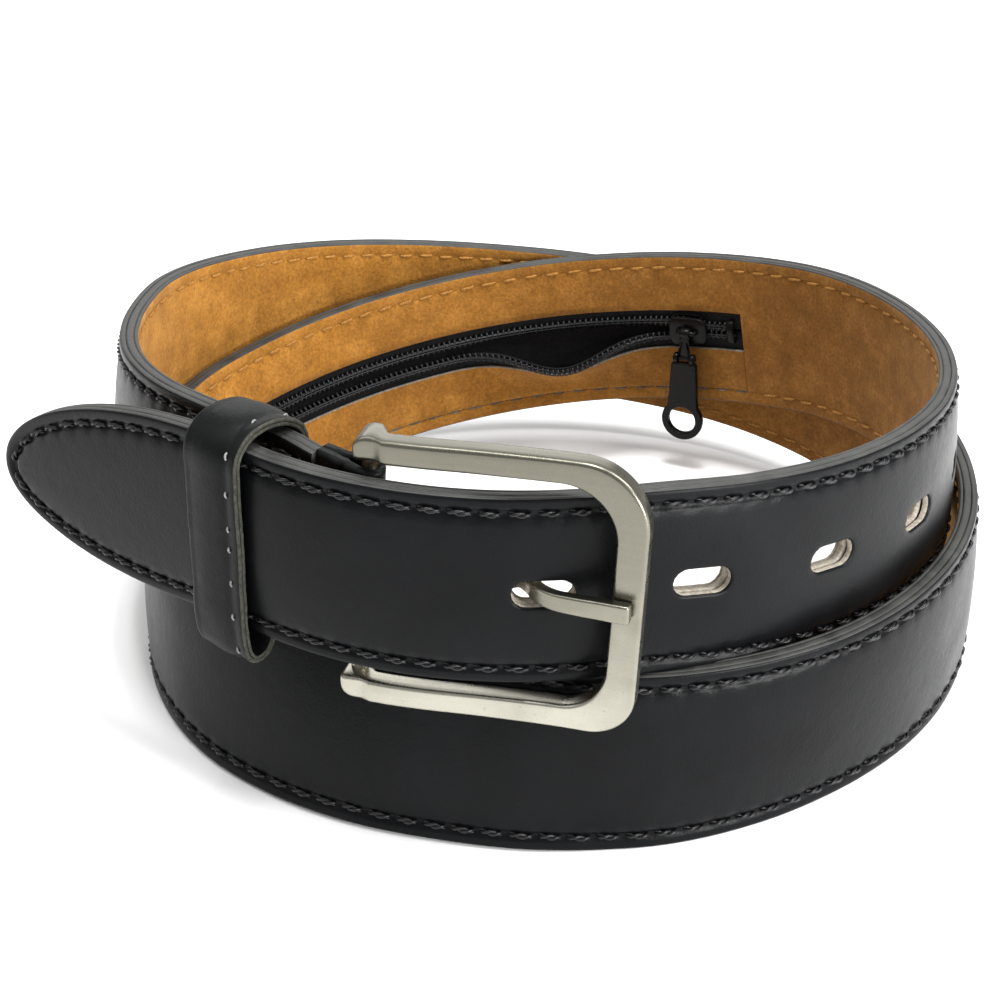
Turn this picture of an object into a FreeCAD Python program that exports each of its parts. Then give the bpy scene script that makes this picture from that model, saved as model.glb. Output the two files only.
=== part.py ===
import FreeCAD, Part
import math
import os

from FreeCAD import Vector as V

os.makedirs("parts", exist_ok=True)

# ------------------------------------------------------------------ driving dimensions (mm, deg)
STRAP_W = 35.0                  # strap height, the strap stands on its edge
EDGE_T = 3.6                    # thickness of the strap at its edge
LINING = (-1.80, -1.00)         # offsets of the layers from the strap's middle surface
CORE = (-0.95, 0.45)
OUTER = (0.50, 1.80)
CROWN = 0.70                    # padding of the outer leather over its middle
TIP_LEN = 62.0                  # straight tip beyond the keeper
TIP_TAPER = 50.0                # rounded point
TIP_SLOPE, TIP_EASE, TIP_BEND = 0.105, 10.0, 2.0    # the tip hangs: slope, its soft start, extra bend
HOLE_L, HOLE_H, HOLE_PITCH, HOLE_N = 10.5, 5.0, 27.0, 5
HOLE_FIRST = 717.8              # turn angle of the hole that the tongue uses

# Path of the coiled strap: turn angle from the front, clockwise from above, radius of the
# middle surface, height of the lower edge, lean of the strap (+ is top edge outward)
FROM_BAR = [(23.7, 73.4, 36.0, 0), (30, 71.4, 36.4, 0), (37, 70.2, 37.1, 0), (50, 71.2, 37.0, 0),
            (62, 73.2, 35.8, -1), (75, 75.4, 34.3, -3), (90, 77.5, 32.1, -6), (101, 79.4, 30.4, -7),
            (112, 81.7, 28.5, -6), (135, 85.5, 22.9, -4), (180, 90.9, 11.6, -2),
            (225, 92.0, 5.5, -3), (252, 90.2, 0.5, -2),
            (268, 88.2, 0, -1), (292, 85.2, 0, 2), (315, 82.2, 0, 4), (340, 78.7, 0, 0),
            (348, 77.1, 0, -2), (354, 75.3, 0, -6), (361, 73.5, 0, -10), (372, 71.6, 0, -13),
            (384, 71.0, 0, -15), (405, 71.6, 0, -13), (428, 72.8, 0, -6), (450, 73.9, 0, 0),
            (462, 74.9, 0.8, 5)]
TO_TIP = [(612, 84.9, 22.8, -4), (630, 82.4, 24.8, -2), (652, 79.4, 27.6, 0), (675, 77.3, 30.8, 0),
          (690, 76.9, 33.2, 0), (706, 76.7, 35.2, 0), (720, 77.1, 35.4, 0), (742, 78.4, 36.4, 0),
          (760, 78.0, 37.2, 0)]
TURN_END = 760.0                # past this the path is straight and runs in millimetres

# The zipped stretch is an exact arc about a tilted axis
ARC_C = V(5.3, 0.0, 31.4)
ARC_N = V(-0.137, 0.027, 0.990).normalize()
ARC_R = 82.2
ARC_FROM, ARC_TO, ARC_STEPS = 154.0, 41.0, 9
ZIP_LEFT, ZIP_RIGHT = 151.0, 57.0       # arc angles of the zip's ends
SLIDER_AT = 66.2                        # arc angle of the slider, zip undone behind it
SLOT_H = 4.5                            # half height of the slot in the lining
LIP_ROOT = 14.4                         # the lip folds at this depth below the middle
LIP_FOLD = 50.0                         # fold of the lip at the widest place of the mouth
MOUTH = (106.0, 69.5)                   # arc angles between which the mouth gapes

# Buckle
BAR = V(-26.93, -67.84, 53.0)           # middle of the bar
BUCKLE_YAW, BAR_TILT = -14.0, 4.5       # the bar leans toward the end bar at its top
FRAME_LEN, FRAME_H = 46.3, 50.8         # bar to end bar middle, outer height
ARM_H, END_W, FRAME_T = 4.4, 5.4, 4.2
END_LEAN = 0.06                         # the end bar leans the same way, run over rise
BAR_R = 1.5

# ------------------------------------------------------------------ path


def natural_spline(xs, ys):
    """Natural cubic spline through the stations."""
    n = len(xs)
    h = [xs[i + 1] - xs[i] for i in range(n - 1)]
    a, b, c, d = [0.0] * n, [1.0] * n, [0.0] * n, [0.0] * n
    for i in range(1, n - 1):
        a[i], b[i], c[i] = h[i - 1], 2 * (h[i - 1] + h[i]), h[i]
        d[i] = 6 * ((ys[i + 1] - ys[i]) / h[i] - (ys[i] - ys[i - 1]) / h[i - 1])
    for i in range(1, n):
        k = a[i] / b[i - 1]
        b[i] -= k * c[i - 1]
        d[i] -= k * d[i - 1]
    m = [0.0] * n
    for i in range(n - 2, 0, -1):
        m[i] = (d[i] - c[i] * m[i + 1]) / b[i]

    def f(x):
        i = max(0, min(n - 2, sum(1 for v in xs if v <= x) - 1))
        t, u = x - xs[i], xs[i + 1] - x
        return ((m[i] * u ** 3 + m[i + 1] * t ** 3) / (6 * h[i])
                + (ys[i] / h[i] - m[i] * h[i] / 6) * u + (ys[i + 1] / h[i] - m[i + 1] * h[i] / 6) * t)
    return f


def monotone_curve(xs, ys):
    """Hermite curve that never overshoots its stations."""
    n = len(xs)
    s = [(ys[i + 1] - ys[i]) / (xs[i + 1] - xs[i]) for i in range(n - 1)]
    g = [s[0]] + [0.0 if s[i - 1] * s[i] <= 0 else 2 * s[i - 1] * s[i] / (s[i - 1] + s[i])
                  for i in range(1, n - 1)] + [s[-1]]

    def f(x):
        i = max(0, min(n - 2, sum(1 for v in xs if v <= x) - 1))
        h = xs[i + 1] - xs[i]
        t = (x - xs[i]) / h
        return ((1 + 2 * t) * (1 - t) ** 2 * ys[i] + t * (1 - t) ** 2 * h * g[i]
                + t * t * (3 - 2 * t) * ys[i + 1] + t * t * (t - 1) * h * g[i + 1])
    return f


ARC_X = (V(1, 0, 0) - ARC_N * ARC_N.x).normalize()
ARC_Y = ARC_N.cross(ARC_X)


def arc_point(a, radius=ARC_R):
    r = math.radians(a)
    return ARC_C + ARC_X * (radius * math.cos(r)) + ARC_Y * (radius * math.sin(r))


def arc_turn(a):
    """Turn angle of a place on the arc."""
    p = arc_point(a)
    return (-90.0 - math.degrees(math.atan2(p.y, p.x))) % 360.0 + 360.0


def arc_station(a):
    p = arc_point(a)
    t = ARC_N.cross(p - ARC_C).normalize() * -1
    ev = (V(0, 0, 1) - t * t.z).normalize()
    lean = math.atan2(ARC_N.dot(ev.cross(t)), ARC_N.dot(ev))
    low = p.z - STRAP_W / 2 * math.cos(lean) - EDGE_T / 2 * abs(math.sin(lean))
    return (arc_turn(a), math.hypot(p.x, p.y), low, math.degrees(lean))


ARC_STATIONS = [arc_station(ARC_FROM + (ARC_TO - ARC_FROM) * i / (ARC_STEPS - 1))
                for i in range(ARC_STEPS)]
STATIONS = FROM_BAR + ARC_STATIONS + TO_TIP
TURNS = [s[0] for s in STATIONS]
radius_at = natural_spline(TURNS, [s[1] for s in STATIONS])
height_at = monotone_curve(TURNS, [s[2] for s in STATIONS])
lean_at = monotone_curve(TURNS, [s[3] for s in STATIONS])


def turn_point(q):
    phi, lean = math.radians(-90.0 - q), math.radians(lean_at(q))
    z = height_at(q) + STRAP_W / 2 * math.cos(lean) + EDGE_T / 2 * abs(math.sin(lean))
    return V(radius_at(q) * math.cos(phi), radius_at(q) * math.sin(phi), z)


END_P = turn_point(TURN_END)
END_T = turn_point(TURN_END) - turn_point(TURN_END - 0.5)
END_T = V(END_T.x, END_T.y, 0).normalize()


def middle(q):
    if q <= TURN_END:
        return turn_point(q)
    s = q - TURN_END
    eased = s * s / (2 * TIP_EASE) if s < TIP_EASE else s - TIP_EASE / 2
    return END_P + END_T * s + V(0, 0, -TIP_SLOPE * eased - TIP_BEND * (s / TIP_LEN) ** 2)


def strap_axes(q):
    """Tangent, up along the strap's height and outward normal at a place on the path."""
    step = 0.4
    t = (middle(q + step) - middle(q - step)).normalize()
    ev = (V(0, 0, 1) - t * t.z).normalize()
    en = ev.cross(t)
    lean = math.radians(lean_at(min(q, TURN_END)))
    return t, ev * math.cos(lean) + en * math.sin(lean), en * math.cos(lean) - ev * math.sin(lean)


def at(q, h, w):
    """Point on the strap: path place, height from the middle, offset outward."""
    _, u, n = strap_axes(q)
    return middle(q) + u * h + n * w


def half_height(q):
    """Half height of the strap, with the rounded point of the tip."""
    left = TURN_END + TIP_LEN - q
    if left >= TIP_TAPER:
        return STRAP_W / 2
    x = 1.0 - max(left, 0.0) / TIP_TAPER
    return max(1.6, STRAP_W / 2 * math.sqrt(max(0.0, 1.0 - x ** 2)))


def places(q0, q1, step=8.0):
    """Path places for one sweep, closer together in the pointed tip."""
    marks, q = [q0], q0
    while q < q1 - 1e-6:
        left = TURN_END + TIP_LEN - q
        q += step if left > TIP_TAPER + step else max(0.55, min(4.0, left * 0.22))
        marks.append(min(q, q1))
    if len(marks) > 2 and marks[-1] - marks[-2] < 0.35 * step and q1 <= TURN_END:
        marks.pop(-2)
    return marks


def sweep(section, q0, q1, step=8.0):
    """Closed solid from a section (list of height and offset) carried along the strap."""
    marks = places(q0, q1, step)
    rings = [[at(q, h, w) for h, w in section(q)] for q in marks]
    knots = [(q - q0) / (q1 - q0) for q in marks]
    edges = []
    for k in range(len(rings[0])):
        curve = Part.BSplineCurve()
        curve.interpolate(Points=[r[k] for r in rings], Parameters=knots)
        edges.append(curve.toShape())
    n = len(edges)
    faces = [Part.makeRuledSurface(edges[k], edges[(k + 1) % n], 1) for k in range(n)]
    for ring in (rings[0], rings[-1]):
        faces.append(Part.Face(Part.makePolygon(ring + [ring[0]])))
    shell = Part.makeShell(faces)
    shell.sewShape()
    solid = Part.Solid(shell)
    if solid.Volume < 0:
        solid.reverse()
    return solid


def strip(h0, h1, w0, w1):
    """Section function of a plain strip."""
    return lambda q: [(h0, w0), (h1, w0), (h1, w1), (h0, w1)]


def full_strip(w0, w1, inset=0.0):
    def section(q):
        h = half_height(q) - inset
        return [(-h, w0), (h, w0), (h, w1), (-h, w1)]
    return section


def local_matrix(origin, x, y, z):
    return FreeCAD.Matrix(x.x, y.x, z.x, origin.x, x.y, y.y, z.y, origin.y,
                          x.z, y.z, z.z, origin.z, 0, 0, 0, 1)


def carry(shape, origin, x, y, z):
    moved = shape.copy()
    moved.Placement = FreeCAD.Placement(local_matrix(origin, x, y, z)).multiply(moved.Placement)
    return moved


def oval(length, height, depth):
    """Slot-shaped prism in x and y, centred, depth both ways along z."""
    r = height / 2
    body = Part.makeBox(length - height, height, 2 * depth, V(-length / 2 + r, -r, -depth))
    ends = [Part.makeCylinder(r, 2 * depth, V(s * (length / 2 - r), 0, -depth)) for s in (-1, 1)]
    return body.fuse(ends).removeSplitter()


def rounded_plate(length, height, depth, r):
    """Rounded rectangle in x and y, centred, from z 0 to depth."""
    body = Part.makeBox(length, height, depth, V(-length / 2, -height / 2, 0))
    return body.makeFillet(r, [e for e in body.Edges if abs(e.BoundBox.ZLength - depth) < 1e-6])


# ------------------------------------------------------------------ strap layers
parts = {}
Q_STRAP = 29.5                  # the strap's square end, stitched to the fold round the bar
Q_END = TURN_END + TIP_LEN
Q_ZIP0, Q_ZIP1 = arc_turn(ZIP_LEFT), arc_turn(ZIP_RIGHT)


def outer_section(q):
    h = half_height(q)
    front = [(1.0, OUTER[1] - 0.35), (0.965, OUTER[1]), (0.80, OUTER[1] + 0.05),
             (0.45, OUTER[1] + 0.8 * CROWN), (0.0, OUTER[1] + CROWN)]
    right = [(h * k, w) for k, w in front]
    left = [(-h * k, w) for k, w in reversed(front[:-1])]
    return [(-h, OUTER[0]), (h, OUTER[0])] + right + left


def hole_places():
    q = HOLE_FIRST
    for _ in range(HOLE_N):
        yield q
        q -= math.degrees(HOLE_PITCH / radius_at(q))


def punched(shape):
    for q in hole_places():
        t, u, n = strap_axes(q)
        shape = shape.cut(carry(oval(HOLE_L, HOLE_H, 4.0), middle(q), t, u, n * -1))
    return shape


parts["strap_outer"] = punched(sweep(outer_section, Q_STRAP, Q_END))
parts["strap_core_buckle_side"] = sweep(full_strip(*CORE, inset=0.2), Q_STRAP, Q_ZIP0 - 0.6)
parts["strap_core_tip_side"] = punched(sweep(full_strip(*CORE, inset=0.2), Q_ZIP1 + 0.6, Q_END - 1.0))
RAIL_H = 9.7
parts["pocket_rail_upper"] = sweep(strip(RAIL_H, STRAP_W / 2 - 0.2, *CORE), Q_ZIP0 - 0.5, Q_ZIP1 + 0.5)
parts["pocket_rail_lower"] = sweep(strip(-STRAP_W / 2 + 0.2, -RAIL_H, *CORE), Q_ZIP0 - 0.5, Q_ZIP1 + 0.5)

lining = punched(sweep(full_strip(*LINING), Q_STRAP, Q_END))
parts["strap_lining"] = lining.cut(sweep(strip(-LIP_ROOT - 0.05, SLOT_H, -2.6, -0.9), Q_ZIP0, Q_ZIP1))


# The lower turn is worn flat where it stands
FOOT_CUT = 0.3
below = Part.makeBox(400, 400, 10, V(-200, -200, FOOT_CUT - 10))
for name in ("strap_outer", "strap_core_buckle_side", "strap_lining"):
    parts[name] = parts[name].cut(below)


# ------------------------------------------------------------------ pocket lip, tapes and coils
def arc_angle_of(q):
    """Arc angle of a path place, by halving."""
    lo, hi = ARC_TO - 6, ARC_FROM + 6
    for _ in range(40):
        mid = (lo + hi) / 2
        if arc_turn(mid) > q:
            lo = mid
        else:
            hi = mid
    return (lo + hi) / 2


def lip_fold(q):
    """Fold angle of the lip, zero at the stitched ends."""
    k = (MOUTH[0] - arc_angle_of(q)) / (MOUTH[0] - MOUTH[1])
    return 0.0 if k <= 0 or k >= 1 else LIP_FOLD * math.sin(math.pi * k) ** 2


def parted(q):
    """How far each coil stands off the middle: shut right of the slider, parted left of it."""
    k = (arc_angle_of(q) - SLIDER_AT + 3.4) / 5.0
    k = max(0.0, min(1.0, k))
    return 0.15 + 0.95 * k * k * (3 - 2 * k)


def folded(q, h, w):
    """A point of the lower half carried round the fold line of the lip."""
    a = math.radians(lip_fold(q))
    dh, dw = h + LIP_ROOT, w - LINING[0]
    return (-LIP_ROOT + dh * math.cos(a) + dw * math.sin(a), LINING[0] - dh * math.sin(a) + dw * math.cos(a))


def folded_strip(h0, h1, w0, w1, bound=False):
    def section(q):
        top = -parted(q) + h1 if bound else h1
        low = -parted(q) + h0 if bound else h0
        return [folded(q, low, w0), folded(q, top, w0), folded(q, top, w1), folded(q, low, w1)]
    return section


def coil_strip(w0, w1, width):
    return lambda q: [(parted(q), w0), (parted(q) + width, w0), (parted(q) + width, w1), (parted(q), w1)]


def tape_section(q):
    return [(parted(q) + 0.3, -0.95), (9.4, -0.95), (9.4, -0.60), (parted(q) + 0.3, -0.60)]


COIL_W, COIL_T = 1.9, (-2.20, -1.00)
Q_IN0, Q_IN1 = Q_ZIP0 + 0.1, Q_ZIP1 - 0.1
parts["pocket_lip"] = sweep(folded_strip(-LIP_ROOT, -SLOT_H, *LINING), Q_IN0, Q_IN1, 3.0)
parts["zipper_tape_upper"] = sweep(tape_section, Q_IN0, Q_IN1, 3.0)


def lower_tape_section(q):
    """Tape of the lower coil: it follows the lip from the fold line up."""
    top = -parted(q) - 0.3
    return [folded(q, -9.4, -0.95), folded(q, top, -0.95), folded(q, top, -0.60), folded(q, -9.4, -0.60)]


parts["zipper_tape_lower"] = sweep(lower_tape_section, Q_IN0, Q_IN1, 3.0)
parts["zipper_coil_upper"] = sweep(coil_strip(*COIL_T, COIL_W), Q_IN0 + 0.6, Q_IN1 - 0.6, 2.0)
parts["zipper_coil_lower"] = sweep(folded_strip(-COIL_W, 0.0, *COIL_T, bound=True),
                                   Q_IN0 + 0.6, Q_IN1 - 0.6, 2.0)
parts["pocket_bag"] = sweep(strip(-RAIL_H + 0.05, RAIL_H - 0.05, 0.15, 0.44), Q_ZIP0 - 0.4, Q_ZIP1 + 0.4)


def arc_axes(a):
    p = arc_point(a)
    out = (p - ARC_C).normalize()
    return p, ARC_N.cross(out) * -1, ARC_N, out


def on_arc(shape, a):
    """Shape drawn with x along the zip, y up and z toward the wearer."""
    p, t, u, out = arc_axes(a)
    return carry(shape, p, t, u, out * -1)


stop = Part.makeBox(1.8, 5.4, 1.8, V(-0.9, -2.7, 0.98))
stop = stop.cut(Part.makeBox(3, 4.4, 1.4, V(-1.5, -2.2, 0.9)))
STOP_AT = ZIP_RIGHT + 1.9
parts["zipper_bottom_stop"] = on_arc(stop, STOP_AT)
for name, side in (("zipper_top_stop_upper", 1), ("zipper_top_stop_lower", -1)):
    clip = Part.makeBox(1.6, 2.9, 1.8, V(-0.8, -1.45, 0.98))
    clip = clip.cut(Part.makeBox(3, 2.3, 1.4, V(-1.5, -1.15, 0.97)))
    clip.translate(V(0, side * (1.10 + COIL_W / 2), 0))
    parts[name] = on_arc(clip, ZIP_LEFT - 1.6)

# ------------------------------------------------------------------ slider and pull
PLATE_L, PLATE_H = 9.0, 7.2
PLATE_NEAR, PLATE_FAR = ARC_R - 2.45, ARC_R - 3.45      # the plate is curved about the arc's own axis
plate = rounded_plate(PLATE_L, PLATE_H, 3.0, 2.2)
plate.translate(V(0, 0, 1.5))
dish = Part.makeCylinder(PLATE_NEAR, 20, V(0, -10, ARC_R), V(0, 1, 0))
dish = dish.cut(Part.makeCylinder(PLATE_FAR, 20, V(0, -10, ARC_R), V(0, 1, 0)))
plate = plate.common(dish)
cheeks = [Part.makeBox(7.0, 0.5, 1.5, V(-3.5, s * 3.35 - 0.25, 1.2)) for s in (-1, 1)]
under = Part.makeBox(7.6, 3.4, 0.45, V(-3.8, -1.7, 0.05))
post = Part.makeCylinder(0.75, 2.3, V(-3.3, 0, 0.3))
post_tail = Part.makeBox(1.4, 0.7, 2.3, V(-3.1, -0.35, 0.3))
slider = plate.fuse(cheeks + [under, post, post_tail])
SLIDER_P, SLIDER_T, SLIDER_U, SLIDER_OUT = arc_axes(SLIDER_AT)
slider = carry(slider, SLIDER_P, SLIDER_T, SLIDER_U, SLIDER_OUT * -1)

# The pull hangs plumb, so its frame is level: x along the strap, z up, y outward
HANG_X = V(SLIDER_T.x, SLIDER_T.y, 0).normalize()
HANG_Y = V(0, 0, 1).cross(HANG_X)
BAIL_P = SLIDER_P - SLIDER_OUT * 4.75 + SLIDER_U * 0.2
LINK_DROP = 6.2
EYE_R = 0.55


def hang(shape):
    return carry(shape, BAIL_P, HANG_X, HANG_Y, V(0, 0, 1))


rod = Part.makeCylinder(EYE_R, 5.2, V(-2.6, 0, 0), V(1, 0, 0))
inward = -1 if HANG_Y.dot(SLIDER_OUT) > 0 else 1
legs = [Part.makeBox(1.1, 2.0, 1.1, V(x - 0.55, min(0, -inward * 2.0), -0.55)) for x in (-2.05, 2.05)]
parts["slider_body"] = slider.fuse([hang(rod)] + [hang(x) for x in legs])


def eye(width, inner, wall):
    tube = Part.makeCylinder(inner + wall, width, V(-width / 2, 0, 0), V(1, 0, 0))
    return tube.cut(Part.makeCylinder(inner, width + 2, V(-width / 2 - 1, 0, 0), V(1, 0, 0)))


link = eye(2.4, EYE_R + 0.09, 0.62)
link = link.fuse(Part.makeBox(2.4, 0.9, LINK_DROP - 1.5, V(-1.2, -0.45, -LINK_DROP + 0.6)))
link = link.cut(Part.makeCylinder(EYE_R + 0.09, 6, V(-3, 0, 0), V(1, 0, 0)))
pin = Part.makeCylinder(EYE_R, 4.8, V(-2.4, 0, -LINK_DROP), V(1, 0, 0))
parts["pull_link"] = hang(link.fuse([pin, Part.makeBox(1.6, 0.9, 1.0, V(-0.8, -0.45, -LINK_DROP - 0.1))]))

TAB_L, RING_R, RING_HOLE = 12.5, 4.7, 3.05
RING_Z = -LINK_DROP - TAB_L - RING_R + 1.6
lugs = [eye(1.0, EYE_R + 0.09, 0.62) for _ in (-1, 1)]
for lug, x in zip(lugs, (-1.9, 1.9)):
    lug.translate(V(x, 0, -LINK_DROP))
blade = Part.makeBox(6.0, 1.5, TAB_L - 1.6, V(-3.0, -0.75, -LINK_DROP - TAB_L + 0.2))
shoulders = [Part.makeBox(1.0, 1.3, 1.6, V(x - 0.5, -0.65, -LINK_DROP - 1.9)) for x in (-1.9, 1.9)]
ring = Part.makeCylinder(RING_R, 1.5, V(0, -0.75, RING_Z), V(0, 1, 0))
tab = blade.fuse(shoulders + [ring]).cut(Part.makeCylinder(RING_HOLE, 4, V(0, -2, RING_Z), V(0, 1, 0)))
tab = tab.cut(Part.makeCylinder(EYE_R + 0.09, 8, V(-4, 0, -LINK_DROP), V(1, 0, 0)))
parts["pull_tab"] = hang(tab.fuse(lugs))

# ------------------------------------------------------------------ buckle
YAW = math.radians(BUCKLE_YAW)
BUCKLE_X = V(math.cos(YAW), math.sin(YAW), 0)
BUCKLE_Y = V(0, 0, 1).cross(BUCKLE_X)


TILT = math.radians(BAR_TILT)
BAR_AXIS = BUCKLE_X * math.sin(TILT) + V(0, 0, math.cos(TILT))


def on_bar(shape):
    """Shape drawn with the bar's middle at the origin, x toward the end bar, -y outward, z up."""
    return carry(shape, BAR, BUCKLE_X, BUCKLE_Y, V(0, 0, 1))


def tilted(shape):
    """Shape drawn upright, turned to the bar's lean."""
    return carry(shape, V(0, 0, 0), V(math.cos(TILT), 0, -math.sin(TILT)), V(0, 1, 0),
                 V(math.sin(TILT), 0, math.cos(TILT)))


def smooth_wire(points):
    curve = Part.BSplineCurve()
    curve.interpolate(points)
    return curve.toShape()


def band(center, thick, height):
    """Bent flat bar: a centre line in x and y given a thickness, standing height tall."""
    left, right = [], []
    for i, p in enumerate(center):
        a, b = center[max(0, i - 1)], center[min(len(center) - 1, i + 1)]
        d = math.hypot(b[0] - a[0], b[1] - a[1])
        nx, ny = -(b[1] - a[1]) / d * thick / 2, (b[0] - a[0]) / d * thick / 2
        left.append(V(p[0] + nx, p[1] + ny, -height / 2))
        right.append(V(p[0] - nx, p[1] - ny, -height / 2))
    one, two = smooth_wire(left), smooth_wire(right)
    caps = [Part.makeLine(left[0], right[0]), Part.makeLine(left[-1], right[-1])]
    wire = Part.Wire(Part.__sortEdges__([one, two] + caps))
    return Part.Face(wire).extrude(V(0, 0, height))


def leaning_plate(x0, x1, half, r_left, r_right, depth):
    """Prism over a four-sided outline in x and z, its far side leaning, its corners rounded."""
    lean = half * END_LEAN
    outline = [(x0, -half), (x1 - lean, -half), (x1 + lean, half), (x0, half)]
    corners = [V(x, -depth, z) for x, z in outline]
    plate = Part.Face(Part.makePolygon(corners + corners[:1])).extrude(V(0, 2 * depth, 0))
    for side, r in ((-1, r_left), (1, r_right)):
        pick = [e for e in plate.Edges if abs(e.BoundBox.YLength - 2 * depth) < 1e-6
                and (e.BoundBox.Center.x - (x0 + x1) / 2) * side > 0
                and abs(abs(e.BoundBox.Center.z) - half) < 1e-3]
        plate = plate.makeFillet(r, pick)
    return plate


FRAME_LINE = [(-7.0, -1.2), (-2.0, -1.9), (1.4, -3.0), (9.4, -3.1), (21.4, -2.6), (33.4, -2.4),
              (41.4, -2.8), (49.4, -3.7), (51.8, -4.1)]
EYE_OUT = 2.4
frame_outer = leaning_plate(-9.0, FRAME_LEN + END_W / 2, FRAME_H / 2, 2.2, 9.0, 12)
frame_inner = leaning_plate(-16.0, FRAME_LEN - END_W / 2, FRAME_H / 2 - ARM_H, 1.0, 6.0, 13)
frame = frame_outer.cut(frame_inner).common(band(FRAME_LINE, FRAME_T, FRAME_H + 4))
frame = frame.cut(tilted(Part.makeBox(20, 30, 80, V(-20 - EYE_OUT, -15, -40))))
eyes = []
for s in (-1, 1):
    middle_z = s * (FRAME_H - ARM_H) / 2
    eyes.append(tilted(Part.makeCylinder(EYE_OUT, ARM_H - 0.4, V(0, 0, middle_z - (ARM_H - 0.4) / 2))))
frame = frame.fuse(eyes).removeSplitter()
BAR_LEN = FRAME_H - 2.8
frame = frame.cut(tilted(Part.makeCylinder(BAR_R, BAR_LEN, V(0, 0, -BAR_LEN / 2))))
parts["buckle_frame"] = on_bar(frame)
bar = Part.makeCylinder(BAR_R, BAR_LEN - 0.04, V(0, 0, -BAR_LEN / 2 + 0.02))
parts["buckle_bar"] = on_bar(tilted(bar))

TONGUE_H, TONGUE_T = 3.5, 2.1
TONGUE_LINE = [(-25.3, -68.6), (-16.0, -70.5), (-6.5, -71.5), (-1.6, -72.6), (0.8, -75.4), (2.4, -78.7),
               (5.0, -81.2), (9.0, -82.95), (12.0, -84.0), (14.5, -84.95), (17.2, -85.9)]


def to_bar(x, y):
    d = V(x - BAR.x, y - BAR.y, 0)
    return (d.dot(BUCKLE_X), d.dot(BUCKLE_Y))


tongue = band([to_bar(x, y) for x, y in TONGUE_LINE], TONGUE_T, TONGUE_H)
collar = tilted(Part.makeCylinder(BAR_R + 1.2, 5.0, V(0, 0, -2.5)))
tongue = tongue.fuse(collar).cut(tilted(Part.makeCylinder(BAR_R + 0.08, 8, V(0, 0, -4))))
parts["tongue"] = on_bar(tongue)

# ------------------------------------------------------------------ fold of leather round the bar
FOLD_IN, FOLD_T, FOLD_H, FOLD_TAIL = BAR_R + 0.08, 1.1, 35.0, 12.0
fold = Part.makeCylinder(FOLD_IN + FOLD_T, FOLD_H, V(0, 0, -FOLD_H / 2))
tail_box = Part.makeBox(FOLD_TAIL, 2 * (FOLD_IN + FOLD_T), FOLD_H, V(0, -FOLD_IN - FOLD_T, -FOLD_H / 2))
fold = fold.fuse(tail_box).removeSplitter()
fold = fold.cut(Part.makeCylinder(FOLD_IN, FOLD_H + 2, V(0, 0, -FOLD_H / 2 - 1)))
fold = fold.cut(Part.makeBox(5.0, 0.3, FOLD_H + 2, V(0, -0.15, -FOLD_H / 2 - 1)))
fold = fold.cut(Part.makeBox(8.6, 9, 7.0, V(-5.5, -4.5, -3.5)))
FOLD_P = BAR + BAR_AXIS * 0.9
FOLD_X = at(Q_STRAP, 0, 0) - FOLD_P
FOLD_X = (FOLD_X - BAR_AXIS * FOLD_X.dot(BAR_AXIS)).normalize()
fold = carry(fold, FOLD_P, FOLD_X, BAR_AXIS.cross(FOLD_X), BAR_AXIS)
end_cut = Part.makeBox(30, 30, 60, V(0, -15, -30))
T0, U0, N0 = strap_axes(Q_STRAP)
end_cut = carry(end_cut, at(Q_STRAP, 0, 0) - T0 * 0.08, T0, T0.cross(U0) * -1, U0)
parts["chape_fold"] = fold.cut(end_cut)

# ------------------------------------------------------------------ keeper loop
KEEPER_AT, KEEPER_W, KEEPER_T = TURN_END + 0.3, 13.0, 1.5
KT, KU, KN = strap_axes(KEEPER_AT)
KEEPER_P = middle(KEEPER_AT)
KEEPER_BACK = -11.7             # inside face of the loop behind the strap's first turn
KEEPER_FRONT = 3.0
KEEPER_TOP, KEEPER_LOW, KEEPER_SAG = 19.4, -18.0, -23.0


def keeper_loop(grow, width, x0):
    """Soft loop: closed curve in height and offset, grown by a skin, carried along x."""
    f, b, t, lo, sag = (KEEPER_FRONT + grow, KEEPER_BACK - grow, KEEPER_TOP + grow,
                        KEEPER_LOW - grow, KEEPER_SAG - grow)
    pts = [(f, 0.0), (f, 5.5), (f, 11.0), (f - 0.3, 16.0), (f - 3.2, t - 0.6), (f - 7.6, t),
           (b + 3.2, t - 0.9), (b + 0.4, 16.0), (b, 11.0), (b, 5.5), (b, 0.0), (b, -5.5), (b, -10.5),
           (b + 0.1, -15.0), (b + 2.0, lo + 0.1), (b + 5.0, lo - 0.1), (f - 6.2, lo - 0.35),
           (f - 3.4, sag + 1.0), (f - 0.9, sag + 1.4), (f, -16.0), (f, -10.5), (f, -5.2)]
    curve = Part.BSplineCurve()
    curve.interpolate(Points=[V(x0, h, -w) for w, h in pts], PeriodicFlag=True)
    return Part.Face(Part.Wire([curve.toShape()])).extrude(V(width, 0, 0))


def on_keeper(shape):
    return carry(shape, KEEPER_P, KT, KU, KN * -1)


HALF = KEEPER_T / 2
CUT_W, CUT_FROM = KEEPER_W + 2, -KEEPER_W / 2 - 1
inner_loop = keeper_loop(HALF - 0.03, KEEPER_W, -KEEPER_W / 2).cut(keeper_loop(0.0, CUT_W, CUT_FROM))
outer_loop = keeper_loop(KEEPER_T, KEEPER_W, -KEEPER_W / 2).cut(keeper_loop(HALF + 0.03, CUT_W, CUT_FROM))
parts["keeper_backing"] = on_keeper(inner_loop)
parts["keeper_leather"] = on_keeper(outer_loop)

# ------------------------------------------------------------------ bring the frame to the middle of the foot
box = FreeCAD.BoundBox()
for shape in parts.values():
    box.add(shape.optimalBoundingBox(False))
SHIFT = V(-(box.XMin + box.XMax) / 2, -(box.YMin + box.YMax) / 2, -box.ZMin)

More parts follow.
